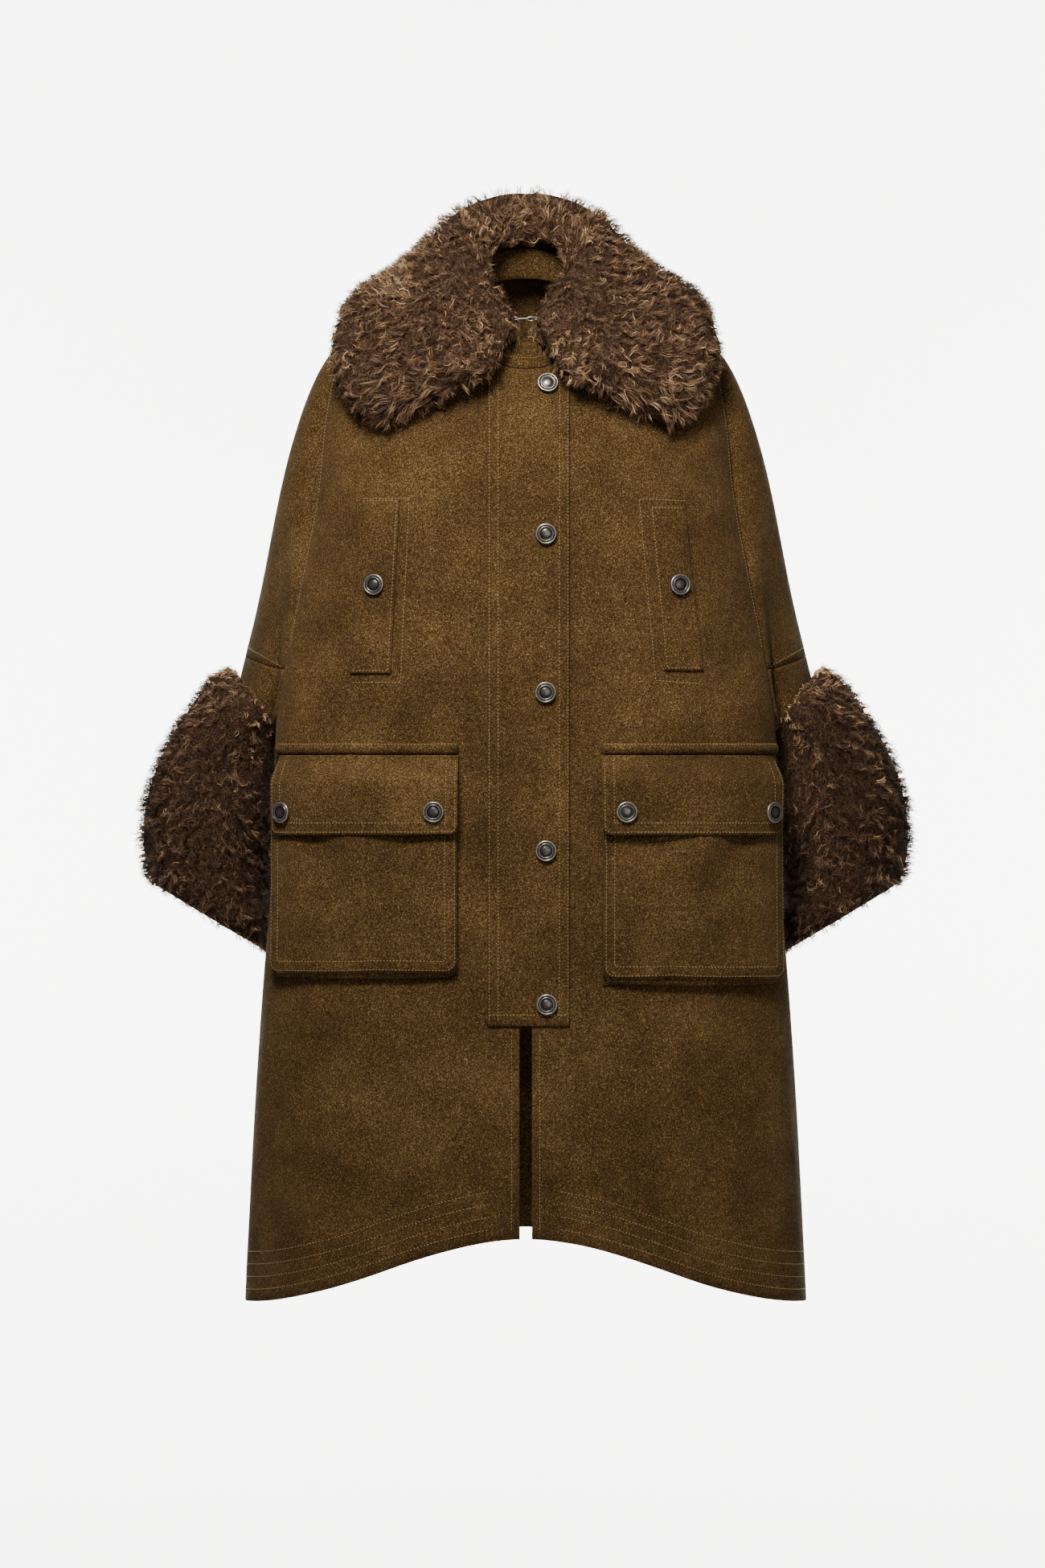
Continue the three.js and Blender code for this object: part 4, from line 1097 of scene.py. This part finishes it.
# %% Buttons
BUTTON = np.array(
    [  # radius, height, wear
        [0.0, 0.3, 0.0],
        [3.4, 0.3, 0.0],
        [3.6, 1.7, 0.0],
        [9.6, 1.9, 0.1],
        [10.9, 2.5, 0.35],
        [11.2, 3.3, 0.55],
        [11.0, 4.2, 0.75],
        [10.4, 4.7, 0.85],
        [9.7, 4.6, 0.6],
        [9.2, 4.1, 0.0],
        [8.6, 3.5, 0.0],
        [8.1, 3.8, 0.0],
        [7.8, 4.5, 0.6],
        [7.3, 4.7, 0.8],
        [6.9, 4.3, 0.1],
        [6.4, 4.0, 0.0],
        [4.8, 4.7, 0.4],
        [2.6, 5.1, 0.5],
        [0.0, 5.2, 0.55],
    ]
)
BUTTON_SIDES = 48
BEAD = np.array([[0, -0.55], [0.42, -0.3], [0.6, 0.1], [0.42, 0.45], [0, 0.6]])  # radius, height
BEADS, BEAD_SIDES, BEAD_RING, BEAD_HEIGHT, BEAD_WEAR = 36, 6, 8.65, 4.05, 0.6
PLACKET_BUTTONS = [(23.5, -48.5), (21.5, -208.5), (21, -378), (21.5, -547.5), (22.5, -712)]
FLAP_BUTTON = dict(edge=24, z=-506.5, clear=0.25)


# %% Turn and place a button
def store(made, name, values):
    """A value kept on each point of a mesh for its material to read."""
    made.data.attributes.new(name, "FLOAT", "POINT").data.foreach_set("value", np.asarray(values, np.float32))


def capped(rings, first, last):
    """Points and faces of rings of points stacked into a tube, closed by a point at each end."""
    count, steps = rings.shape[:2]
    points = np.concatenate([rings.reshape(-1, 3), [first, last]])
    j = np.arange(steps)
    k = (j + 1) % steps
    end = (count - 1) * steps
    bottom = np.stack([np.full(steps, count * steps), k, j], 1)
    top = np.stack([np.full(steps, count * steps + 1), end + j, end + k], 1)
    return points, grid_faces(count, steps, ring=True), np.concatenate([bottom, top])


def turned(profile, steps):
    """Points and faces of a profile turned round its own axis, with a single point at each pole."""
    turn = np.arange(steps) / steps * 2 * np.pi
    radius, height = profile[1:-1, :1], profile[1:-1, 1:]
    rings = np.stack([radius * np.cos(turn), radius * np.sin(turn), height + 0 * turn], -1)
    return capped(rings, [0, 0, profile[0, 1]], [0, 0, profile[-1, 1]])


def joined_shells(shells):
    """Several closed shells, each points, quads and caps, numbered on and put into one mesh's arrays."""
    starts = np.cumsum([0] + [len(points) for points, _, _ in shells])
    points = np.concatenate([points for points, _, _ in shells])
    quads = np.concatenate([quads + start for (_, quads, _), start in zip(shells, starts)])
    caps = np.concatenate([caps + start for (_, _, caps), start in zip(shells, starts)])
    return points, [quads, caps]


def set_on(points, theta, s, off):
    """Points of a small piece stood on the body's surface, its own z along the surface's normal."""
    theta, s = np.asarray(float(theta)), np.asarray(float(s))
    up = -normal_of(body_point, theta, s)
    aside = unit(np.cross([0, 0, 1.0], up))
    axes = np.stack([aside, np.cross(up, aside), up])
    return points @ axes + off_body(theta, s, off)


def button_at(name, theta, s, off):
    """A button with its rope of beads in the groove, standing where its solid stands."""
    bead_points, bead_quads, bead_caps = turned(BEAD, BEAD_SIDES)
    shells = [turned(BUTTON[:, :2], BUTTON_SIDES)]
    for turn in np.arange(BEADS) / BEADS * 2 * np.pi:
        centre = [BEAD_RING * np.cos(turn), BEAD_RING * np.sin(turn), BEAD_HEIGHT]
        shells.append((bead_points + centre, bead_quads, bead_caps))
    points, faces = joined_shells(shells)
    made = make_object(name + "_metal", set_on(points, theta, s, off + SEAM), faces, pewter, "metal")
    on_button = [np.repeat(BUTTON[1:-1, 2], BUTTON_SIDES), BUTTON[[0, -1], 2]]
    store(made, "wear", np.concatenate([*on_button, np.full(BEADS * len(bead_points), BEAD_WEAR)]))
    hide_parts(name)
    return made


# %% The eleven buttons
fine_s = np.linspace(0, 10, 8001)
for i, (x, z) in enumerate(PLACKET_BUTTONS):
    heights = body_point(angle_at_x(x + 0 * fine_s, fine_s), fine_s)[:, 2]
    s = fine_s[np.argmax(heights <= z)]
    button_at(f"placket_button_{i + 1}", angle_at_x(np.float64(x), s), s, SEAM + CLOTH)
for word, _, _, _, _, x in WELTS:
    s = station_at_height(WELT_BUTTON_Z)
    button_at(f"chest_button_{word}", angle_at_x(np.float64(x), s), s, SEAM + CLOTH)
for pocket in POCKETS:
    for place, along in (("inner", FLAP_BUTTON["edge"]), ("outer", pocket[3] - FLAP_BUTTON["edge"])):
        theta, s = pocket_place(pocket, np.array([[along]]), np.array([[FLAP_BUTTON["z"]]]))
        off = FLAP["lowest"] + CLOTH + FLAP_BUTTON["clear"]
        button_at(f"flap_button_{pocket[0]}_{place}", theta[0, 0], s[0, 0], off)


# %% The hook and eye
def tube(path, radius, sides=8):
    """A round wire along a path of points, closed at both ends."""
    along = unit(np.gradient(path, axis=0))
    aside = unit(np.cross(along, [0, 0.3, 1.0]))
    up = np.cross(aside, along)
    turn = np.arange(sides) / sides * 2 * np.pi
    around = aside[:, None] * np.cos(turn)[:, None] + up[:, None] * np.sin(turn)[:, None]
    return capped(path[:, None] + radius * around, path[0], path[-1])


def sewing_loop(x, size):
    """The ring at the end of the hook or the eye that it is sewn on by."""
    turn = np.linspace(0, 2 * np.pi, 20)
    return np.stack([x + size * np.cos(turn), 0 * turn, size * np.sin(turn)], 1)


HOOK = dict(y=-100.0, z=23.0, wire=0.5, wear=0.75)
bend = np.linspace(-np.pi / 2, np.pi / 2, 12)
bar = np.stack([np.linspace(-9.5, 1.5, 12), np.linspace(0, -0.9, 12), 0 * np.linspace(0, 1, 12)], 1)
back_of_hook = np.stack([1.5 + 1.2 * np.cos(bend), 0.1 + np.sin(bend) * 1.0, 0 * bend], 1)
parts = [sewing_loop(-10.8, 1.4), np.concatenate([bar, back_of_hook]), sewing_loop(10.8, 1.4)]
eye_turn = np.linspace(-0.25 * np.pi, 1.25 * np.pi, 20)
parts.append(np.stack([5.4 - 4.2 * np.sin(eye_turn), 0.1 + 0 * eye_turn, 1.9 * np.cos(eye_turn) - 0.4], 1))
points, faces = joined_shells([tube(path + [0, HOOK["y"], HOOK["z"]], HOOK["wire"]) for path in parts])
hook = make_object("neck_hook_wire", points, faces, pewter, "metal")
store(hook, "wear", np.full(len(points), HOOK["wear"]))
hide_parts("neck_hook")
print("neck hook:", len(points), "points of wire")

# %% [markdown]
# ## Fur
# The pelt is a dense dark underfur with thousands of curly locks in it. Each lock has a root on the
# underfur and a direction of growth. Its hairs start apart, wind round the lock's own line and draw
# closer towards the tip, as curly lamb does. All the hairs of a piece are one mesh of narrow ribbons
# made from arrays, because a particle system would not be kept as a mesh.


# %% Hairs in locks
LOCK_LEAN, HAIR_STRAY, HAIR_TWIST = 0.35, 1.8, 0.6  # how far locks lean, and hairs stray and turn over
GLINT_HAIR_SHARE, GLINT_HAIR_LIFT = 0.08, 0.34  # how many hairs are painted paler as glints (painted highlight), and how much paler they are
LOCK_TONE, HAIR_TONE, ROOT_TO_TIP = 0.09, 0.10, 0.46  # spread of the shade, and its rise to the tip


def hairs(locks, seed, strands, width, segments=6, spread=3.3, curl=2.0, gather=0.3):
    """Ribbons in locks. A hair's centre line leaves its root along the normal, bends over into the flow
    and winds round the lock's own line; its ribbon narrows to a point. Returns points, faces, shades."""
    root, normal, flow, height, length, turns, pale = locks
    rng = np.random.default_rng(seed)
    count = len(root)
    aside = unit(np.cross(normal, flow))
    t = np.linspace(0, 1, segments + 1)
    rise = (1 - (1 - t) ** 1.7)[None, :, None] * normal[:, None] * height[:, None, None]
    lean = rng.normal(0, LOCK_LEAN, (count, 1, 1))
    run = (t**1.3)[None, :, None] * (flow[:, None] + aside[:, None] * lean) * length[:, None, None]
    winding = t * 2 * np.pi * turns[:, None] * rng.uniform(0.7, 1.3, (count, 1))
    winding = winding * rng.choice([-1, 1], (count, 1))
    phase = rng.uniform(0, 2 * np.pi, (count, 1)) + winding
    wind = curl * rng.uniform(0.5, 1.4, (count, 1)) * t**0.6
    helix_aside = aside[:, None] * (wind * np.cos(phase))[..., None]
    helix = helix_aside + normal[:, None] * (wind * np.sin(phase))[..., None]
    line = root[:, None] + rise + run + helix
    turn = rng.uniform(0, 2 * np.pi, (count, strands, 1, 1))
    away = spread * np.sqrt(rng.uniform(0, 1, (count, strands, 1, 1)))
    around = aside[:, None, None] * np.cos(turn) + flow[:, None, None] * np.sin(turn)
    own = rng.normal(0, 1.0, (count, strands, 1, 3)) * (t[:, None] ** 1.2) * HAIR_STRAY
    centre = line[:, None] + around * away * (1 - gather * t**0.8)[:, None] + own
    along = unit(np.gradient(centre, axis=2))
    facing = unit(normal[:, None, None] + rng.normal(0, HAIR_TWIST, (count, strands, 1, 3)))
    half = (width / 2 * (1 - t**2.4) * rng.uniform(0.6, 1.3, (count, strands, 1)))[..., None]
    across = unit(np.cross(along, facing)) * half
    points = np.stack([(centre - across)[:, :, :-1], (centre + across)[:, :, :-1]], 3)
    points = np.concatenate([points.reshape(count * strands, -1, 3), centre[:, :, -1].reshape(-1, 1, 3)], 1)
    per = 2 * segments + 1
    first = per * np.arange(count * strands)[:, None, None]
    k = 2 * np.arange(segments - 1)[None, :, None]
    quads = (first + k + np.array([0, 1, 3, 2])).reshape(-1, 4)
    tips = (first + np.array([per - 3, per - 2, per - 1])).reshape(-1, 3)
    tone = pale[:, None, None] + rng.normal(0, LOCK_TONE, (count, 1, 1))
    tone = tone + rng.normal(0, HAIR_TONE, (count, strands, 1))
    # Painted highlight: a random few hairs are painted paler to stand in for golden glints of light.
    painted_glint = (rng.uniform(0, 1, (count, strands, 1)) < GLINT_HAIR_SHARE) * GLINT_HAIR_LIFT
    shade = np.clip(tone + painted_glint + ROOT_TO_TIP * (t - 0.5), 0, 1)
    ends = np.repeat(shade[:, :, :-1], 2, axis=2).reshape(count * strands, -1)
    shades = np.concatenate([ends, shade[:, :, -1].reshape(-1, 1)], 1)
    return points.reshape(-1, 3), [quads, tips], shades.ravel()


def fur_piece(name, points, faces, shade):
    """A mesh of hairs with its stored shade."""
    made = make_object(name, points, faces, fur, "fur")
    store(made, "shade", shade)
    print(f"{name}: {sum(len(block) * (block.shape[1] - 2) for block in faces)} triangles")
    return made


def scatter(surface, count, seed):
    """Random shares over a surface of two shares, spread evenly over its area: a fine grid's cells are
    drawn by their area."""
    rng = np.random.default_rng(seed)
    fine_u, fine_v = np.linspace(0, 1, 161), np.linspace(0, 1, 81)
    u, v = np.meshgrid(fine_u, fine_v)
    grid = surface(u, v)
    cross = np.cross(grid[:-1, 1:] - grid[:-1, :-1], grid[1:, :-1] - grid[:-1, :-1])
    area = np.linalg.norm(cross, axis=-1)
    cell = rng.choice(area.size, count, p=(area / area.sum()).ravel())
    i, j = np.divmod(cell, area.shape[1])
    return (j + rng.uniform(0, 1, count)) / 160, (i + rng.uniform(0, 1, count)) / 80


# %% [markdown]
# ## The fur collar
# The collar lies over the shoulders from the neck to its outer edge, thickest behind the neck, and falls
# in two lobes in front that nearly meet at the hook. Between its underside and its outer surface the
# underfur fills most of the height, and the locks the rest.

# %% The collar's surfaces
COLLAR = np.array(
    [  # foot, neck and edge angle, reach as a station, roll above the neck, thickness, fill of the neck
        [17, 5, 30, 2.2, 28, 30, 14],
        [23, 14, 41, 2.86, 38, 42, 26],
        [33, 28, 54, 2.8, 54, 47, 32],
        [52, 51, 67, 2.45, 62, 50, 36],
        [78, 78, 82, 1.9, 66, 53, 37],
        [108, 108, 102, 1.86, 66, 53, 37],
        [138, 138, 130, 2.35, 66, 50, 35],
        [162, 162, 157, 2.75, 64, 46, 33],
        [180, 180, 180, 2.85, 62, 46, 33],
    ]
)
COLLAR_SEAT, COLLAR_CLEAR = 31.2, 6.2
FOOT, NECK, EDGE, REACH, ROLL, THICK, FILL = range(7)


def collar_guides(a, fullness):
    """The ten guide points of the collar's outer surface at each share a from the front corner (0) to
    the centre back (1). Fullness 1 is the fur's outer surface, and 0 the skin on the underside."""
    row = between(COLLAR, a * (len(COLLAR) - 1))

    def over(q, full):
        theta = np.radians(lerp(row[..., NECK], row[..., EDGE], q))
        return off_body(theta, lerp(0.02, row[..., REACH], q), lerp(COLLAR_CLEAR + 1.5, full, fullness))

    foot = body_point(np.radians(row[..., NECK]), np.full(row.shape[:-1], 0.02))
    inwards = neck_inwards(foot)
    up = np.array([0, 0, 1.0])

    def place(inside, height):
        inside = lerp(7.0, inside, fullness)
        height = lerp(4.0, height, fullness)
        return foot + inwards * inside[..., None] + up * (COLLAR_SEAT + height)[..., None]

    fill, roll, thick = row[..., FILL], row[..., ROLL], row[..., THICK]
    return np.stack(
        [
            foot + inwards * 12 + up * COLLAR_SEAT,
            place(fill, roll * 0.22),
            place(fill * 0.9, roll * 0.62),
            place(fill * 0.35, roll * 0.95),
            place(-fill * 0.25, roll),
            over(0.34, thick * 1.2),
            over(0.62, thick),
            over(0.84, thick * 0.82),
            over(0.985, thick * 0.5),
            over(1.0, COLLAR_CLEAR + 5),
        ],
        0,
    )


def collar_surface(fullness):
    """The collar as a surface of two shares: u all round from the right front corner to the left one,
    v from inside the neck over the roll to the outer edge."""

    def surface(u, v):
        shape = np.broadcast(u, v).shape
        side = np.broadcast_to(np.where(u < 0.5, 1.0, -1.0), shape).ravel()
        a = np.broadcast_to(1 - np.abs(2 * u - 1), shape).ravel()
        guides = collar_guides(a, fullness)
        last = len(guides) - 1
        place = np.broadcast_to(v, shape).ravel() * last
        i = np.clip(np.floor(place), 0, last - 1).astype(int)
        t = (place - i)[:, None]
        k = np.arange(len(i))
        p0, p1, p2, p3 = (guides[np.clip(i + j, 0, last), k] for j in (-1, 0, 1, 2))
        slope, after = (p2 - p0) / 2, (p3 - p1) / 2
        bend = 3 * (p2 - p1) - 2 * slope - after
        twist = 2 * (p1 - p2) + slope + after
        point = p1 + slope * t + bend * t**2 + twist * t**3
        return (point * np.stack([side, 0 * side + 1, 0 * side + 1], 1)).reshape(*shape, 3)

    return surface


# %% The collar's skin
SKIN_FULLNESS = 0.84
collar_full, collar_skin = collar_surface(1.0), collar_surface(SKIN_FULLNESS)
u, v = np.meshgrid(np.linspace(0, 1, 121), np.linspace(0, 1, 41))
upper = collar_skin(u, v)
side = np.where(u[0] < 0.5, 1.0, -1.0)
rows = between(COLLAR, (1 - np.abs(2 * u[0] - 1)) * (len(COLLAR) - 1))
beneath = []
for q in (0.97, 0.8, 0.62, 0.44, 0.26, 0.1):
    theta = np.radians(lerp(rows[:, FOOT], rows[:, EDGE], q))
    beneath.append(off_body(theta, lerp(0.02, rows[:, REACH], q), COLLAR_CLEAR))
for column, inside, height in ((FOOT, -3, 3), (NECK, 1.4, COLLAR_SEAT)):
    foot = body_point(np.radians(rows[:, column]), np.full(len(rows), 0.02))
    beneath.append(foot + neck_inwards(foot) * inside + np.array([0, 0, height]))
mirror = np.stack([side, 0 * side + 1, 0 * side + 1], 1)
profile = np.concatenate([np.array(beneath) * mirror, upper])
count, around = profile.shape[:2]
number = np.arange(count * around).reshape(count, around)
over = np.roll(number, -1, 0)
ring = np.stack([number[:, :-1], number[:, 1:], over[:, 1:], over[:, :-1]], -1).reshape(-1, 4)
ends = [profile[:, 0].mean(0), profile[:, -1].mean(0)]
caps = [
    np.stack([np.full(count, count * around), number[:, 0], np.roll(number[:, 0], -1)], 1),
    np.stack([np.full(count, count * around + 1), np.roll(number[:, -1], -1), number[:, -1]], 1),
]
points = np.concatenate([profile.reshape(-1, 3), ends])
collar_base = make_object("fur_collar_skin", points, [ring, *caps], underfur, "fur")
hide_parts("fur_collar")


# %% The collar's locks
def settle(normal, flow):
    """The flow made level with the surface, with the direction that lies across it."""
    flow = unit(flow - normal * np.einsum("ij,ij->i", flow, normal)[:, None])
    return flow, np.cross(normal, flow)


def collar_locks(count, seed):
    """Roots, directions and sizes of the collar's locks: short curls on top, longer waves at the lobes."""
    u, v = scatter(collar_full, count, seed)
    v = 0.04 + 0.96 * v
    root, top = collar_skin(u, v), collar_full(u, v)
    normal = normal_of(collar_full, u, v, 2e-3)
    outwards = unit(top - root)
    normal = normal * np.sign(np.einsum("ij,ij->i", normal, outwards))[:, None]
    normal = unit(normal * 1.4 + outwards)
    flow, aside = settle(normal, collar_full(u, np.minimum(v + 0.01, 1)) - collar_full(u, v - 0.01))
    rng = np.random.default_rng(seed + 1)
    lobe = smooth((np.abs(2 * u - 1) - 0.62) / 0.3) * smooth((v - 0.5) / 0.3)
    loose = lerp(0.9, 0.25, lobe)
    swirl = loose * (0.9 * np.sin(9 * u * np.pi + 5 * v) + rng.normal(0, 0.8, count))
    flow = unit(flow * np.cos(swirl)[:, None] + aside * np.sin(swirl)[:, None])
    room = np.linalg.norm(top - root, axis=1)
    rim = smooth((v - 0.8) / 0.15)
    height = np.clip(room * rng.uniform(0.5, 1.0, count), 2.5, 8) * lerp(1, 0.75, lobe) * lerp(1, 0.6, rim)
    length = lerp(9.5, 15.0, lobe) * rng.uniform(0.7, 1.3, count) * lerp(1, 0.6, rim)
    turns = lerp(1.3, 0.5, lobe)
    patchy = np.sin(7 * u * np.pi + 2 * np.sin(8 * v)) * np.sin(9 * v + 3 * u)
    on_top = smooth((0.75 - np.abs(2 * u - 1)) / 0.4) * smooth((0.62 - v) / 0.2)
    pale = 0.50 + 0.10 * patchy + 0.06 * on_top + 0.04 * lobe + 0.05 * rng.normal(0, 1, count)
    return root, normal, flow, height, length, turns, pale


def lobe_end_locks(count, seed, side):
    """Locks on the face where a lobe ends beside the hook: shorter, smoother and flowing down."""
    rng = np.random.default_rng(seed)
    v = rng.uniform(0.0, 1.0, count)
    edge = collar_skin(np.full(count, 0.0 if side > 0 else 1.0), v)
    centre = ends[0 if side > 0 else 1]
    root = lerp(centre, edge, np.sqrt(rng.uniform(0, 1, count))[:, None])
    normal = unit(np.array([-side * 1.0, -0.55, 0.1]) + rng.normal(0, 0.2, (count, 3)))
    flow = settle(normal, np.array([side * 0.3, -0.4, -1.0]) + rng.normal(0, 0.35, (count, 3)))[0]
    height = rng.uniform(2.5, 6, count)
    length = rng.uniform(6, 13, count)
    return root, normal, flow, height, length, np.full(count, 0.6), 0.5 + rng.normal(0, 0.06, count)


for side, word in ((1, "right"), (-1, "left")):
    every = collar_locks(4200, 11)
    mine = (every[0][:, 0] * side) > 0
    half = [part[mine] for part in every]
    end = lobe_end_locks(170, 17 + side, side)
    joined = [np.concatenate([a, b]) for a, b in zip(half, end)]
    fur_piece(f"fur_collar_hair_{word}", *hairs(joined, 31 + side, strands=7, width=0.7))

# %% [markdown]
# ## The fur cuffs
# Each cuff is a wide flaring tube round the sleeve's end. It bows outward in the middle, is pressed flat
# under the arm, and its fur is palest at the top, dark and curly in the middle and softer at the rim.

# %% The cuffs' surfaces
FUR, CUFF_GAP, CUFF_BOW = 36, 0.6, 26
PRESSED = dict(start=70, over=40, down=0.45, share=0.9)
CUFF_PROFILE = np.array(
    [  # share down the cuff, share out into the fur, lift along the arm
        [0, -0.06, -CUFF_GAP],
        [0.33, -0.04, 0],
        [0.66, 0, 0],
        [0.93, 0.05, 0],
        [1.0, 0.3, -3],
        [1.01, 0.68, 2],
        [0.93, 0.97, 4],
        [0.75, 1.0, 0],
        [0.5, 1.0, 0],
        [0.25, 1.0, 0],
        [0.06, 0.97, 9],
        [0, 0.66, 15],
        [0, 0.34, 12],
        [0, 0.04, -CUFF_GAP],
    ]
)


def cuff_surface(start, end, fullness):
    """The cuff between two places of its profile as a surface of two shares: u round the arm, v along
    the profile. Fullness scales how far out into the fur the outer side lies."""

    def surface(u, v):
        u, v = np.broadcast_arrays(np.asarray(u, float), np.asarray(v, float))
        row = between(CUFF_PROFILE, lerp(start, end, v))
        down, out, lift = row[..., 0], row[..., 1], row[..., 2]
        t = u * 2 * np.pi
        ring = {}
        for key in ("x", "y", "z", "tilt"):
            ring[key] = lerp(SLEEVE_END[key], CUFF_END[key], down)
        ring["x"] = ring["x"] + CUFF_BOW * np.sin(np.pi * np.clip(down, 0, 1))
        for key in ("across", "deep"):
            ring[key] = lerp(SLEEVE_END[key] - CLOTH, CUFF_END[key] - FUR, down)
        round_arm = np.abs(np.arctan2(np.sin(t), np.cos(t)))
        under = smooth((round_arm - np.radians(PRESSED["start"])) / np.radians(PRESSED["over"]))
        pressed = under * (1 - smooth(down / PRESSED["down"]))
        scale = np.where(out > 0.1, lerp(0.1 / np.maximum(out, 0.1), 1, fullness), 1)
        pile = out * scale * FUR * (1 - PRESSED["share"] * pressed) + CLOTH * (1 - down)
        raised = lerp(-CUFF_GAP, lift * lerp(0.3, 1, fullness), smooth(0.25 + 0.75 * np.cos(t)))
        return tilted_ellipse(ring, t, pile, np.where(lift > 0, raised, lift))

    return surface


CUFF_SKIN = 0.82


def cuff_locks(count, seed):
    """Roots, directions and sizes of a cuff's locks, over its top, outside and lower rim."""
    full, skin = cuff_surface(3.6, 12.9, 1.0), cuff_surface(3.6, 12.9, CUFF_SKIN)
    u, v = scatter(full, count, seed)
    root, top = skin(u, v), full(u, v)
    outwards = unit(top - root + 1e-6)
    flow, aside = settle(outwards, full(u, np.maximum(v - 0.01, 0)) - full(u, np.minimum(v + 0.01, 1)))
    rng = np.random.default_rng(seed + 1)
    near_top = smooth((v - 0.6) / 0.2)
    rim = smooth((0.34 - v) / 0.2)
    swirl = (1 - 0.6 * rim) * (0.7 * np.sin(8 * u * np.pi + 6 * v) + rng.normal(0, 0.8, count))
    flow = unit(flow * np.cos(swirl)[:, None] + aside * np.sin(swirl)[:, None])
    room = np.linalg.norm(top - root, axis=1)
    height = np.clip(room * rng.uniform(0.6, 1.2, count), 1.5, 8)
    length = 8.0 * rng.uniform(0.7, 1.3, count) * np.clip(room / 5, 0.4, 1)
    turns = lerp(1.4, 0.6, np.maximum(rim, near_top))
    pale = 0.36 + 0.38 * near_top + 0.10 * rim + 0.09 * np.sin(11 * u * np.pi + 7 * v)
    pale = pale + 0.07 * rng.normal(0, 1, count)
    return root, outwards, flow, height, length, turns, pale


# %% The cuffs
cuff_ring = np.arange(96) / 96
profile_share = np.linspace(0, 1, 57)[:, None]
skin_grid = cuff_surface(0.0, 13.0, CUFF_SKIN)(cuff_ring + 0 * profile_share, profile_share + 0 * cuff_ring)
count, around = skin_grid.shape[:2]
number = np.arange(count * around).reshape(count, around)
down_one, over_one = np.roll(number, -1, 0), np.roll(number, -1, 1)
torus = np.stack([number, over_one, np.roll(down_one, -1, 1), down_one], -1).reshape(-1, 4)
right_cuff = cuff_locks(2250, 51)
for side, word in ((-1, "left"), (1, "right")):
    flip = [side, 1, 1]
    base = make_object(f"fur_cuff_{word}_skin", skin_grid.reshape(-1, 3) * flip, [torus], underfur, "fur")
    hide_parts(f"fur_cuff_{word}")
    mirrored = [part * flip for part in right_cuff[:3]] + list(right_cuff[3:])
    fur_piece(f"fur_cuff_{word}_hair", *hairs(mirrored, 71 + side, strands=7, width=0.7, segments=5))

# %% [markdown]
# ## Studio
# A plain pale sweep of paper stands well behind and below the coat, so no shadow falls in view. A soft
# key light above and to the left models the folds, a weaker one fills from the front, and two lights
# beside the coat shine past it on the paper behind. The paper shows only its lit side, so that the
# coat can also be seen from behind, and a faint pale world lights the rest.

# %% The paper
SWEEP = dict(side=6.0, front=-8.0, bend=3.0, radius=1.5, floor=-1.5, top=5.0)
arc = np.linspace(0, np.pi / 2, 17)
bend_y = SWEEP["bend"] + SWEEP["radius"] * np.sin(arc)
bend_z = SWEEP["floor"] + SWEEP["radius"] * (1 - np.cos(arc))
profile_y = np.concatenate([[SWEEP["front"]], bend_y, [SWEEP["bend"] + SWEEP["radius"]]])
profile_z = np.concatenate([[SWEEP["floor"]], bend_z, [SWEEP["top"]]])
edges_x = (-SWEEP["side"], SWEEP["side"])
sweep = np.stack([np.stack([0 * profile_y + x, profile_y, profile_z], 1) for x in edges_x], 1)
print("paper from", profile_z.min(), "to", profile_z.max(), "m high")
sweep_mesh = bpy.data.meshes.new("sweep")
sweep_mesh.from_pydata(sweep.reshape(-1, 3).tolist(), [], grid_faces(len(profile_y), 2).tolist())
sweep_mesh.polygons.foreach_set("use_smooth", np.ones(len(sweep_mesh.polygons), bool))
sweep_object = bpy.data.objects.new("sweep", sweep_mesh)
bpy.context.scene.collection.objects.link(sweep_object)
paper, paper_shader, add, link = node_material("paper")
paper_shader.inputs["Base Color"].default_value = (0.9, 0.9, 0.88, 1)
paper_shader.inputs["Roughness"].default_value = 0.9
one_sided = add("ShaderNodeMixShader")
link(add("ShaderNodeNewGeometry").outputs["Backfacing"], one_sided.inputs["Fac"])
link(paper_shader.outputs["BSDF"], one_sided.inputs[1])
link(add("ShaderNodeBsdfTransparent").outputs["BSDF"], one_sided.inputs[2])
link(one_sided.outputs["Shader"], paper.node_tree.nodes["Material Output"].inputs["Surface"])
sweep_mesh.materials.append(paper)


# %% Lights and world
def area_light(name, location, aim, size, watts, spread, colour=(1, 1, 1)):
    """A square soft light that points at a place, its beam as wide as the spread in degrees."""
    data = bpy.data.lights.new(name, "AREA")
    data.shape = "SQUARE"
    data.size = size
    data.energy = watts
    data.spread = np.radians(spread)
    data.color = colour
    light = bpy.data.objects.new(name, data)
    light.location = location
    light.visible_camera = False
    toward = np.array(aim) - np.array(location)
    flat = np.hypot(toward[0], toward[1])
    light.rotation_euler = (np.arctan2(flat, -toward[2]), 0, np.arctan2(-toward[0], toward[1]))
    bpy.context.scene.collection.objects.link(light)
    return light


area_light("key", (-0.45, -2.2, 1.9), (0, 0, -0.08), 0.8, 22.5, 58, (1, 0.98, 0.95))
area_light("fill", (1.2, -4.0, 0.2), (0, 0, -0.4), 2.0, 14, 120)
for side, word in ((-1, "left"), (1, "right")):
    area_light(f"wall_{word}", (side * 2.5, 2.3, 0.8), (side * 0.5, 4.5, -0.5), 1.6, 235, 100)

world = bpy.data.worlds.new("world")
world.use_nodes = True
world.node_tree.nodes["Background"].inputs["Color"].default_value = (0.96, 0.98, 1.0, 1)
world.node_tree.nodes["Background"].inputs["Strength"].default_value = 0.14
bpy.context.scene.world = world
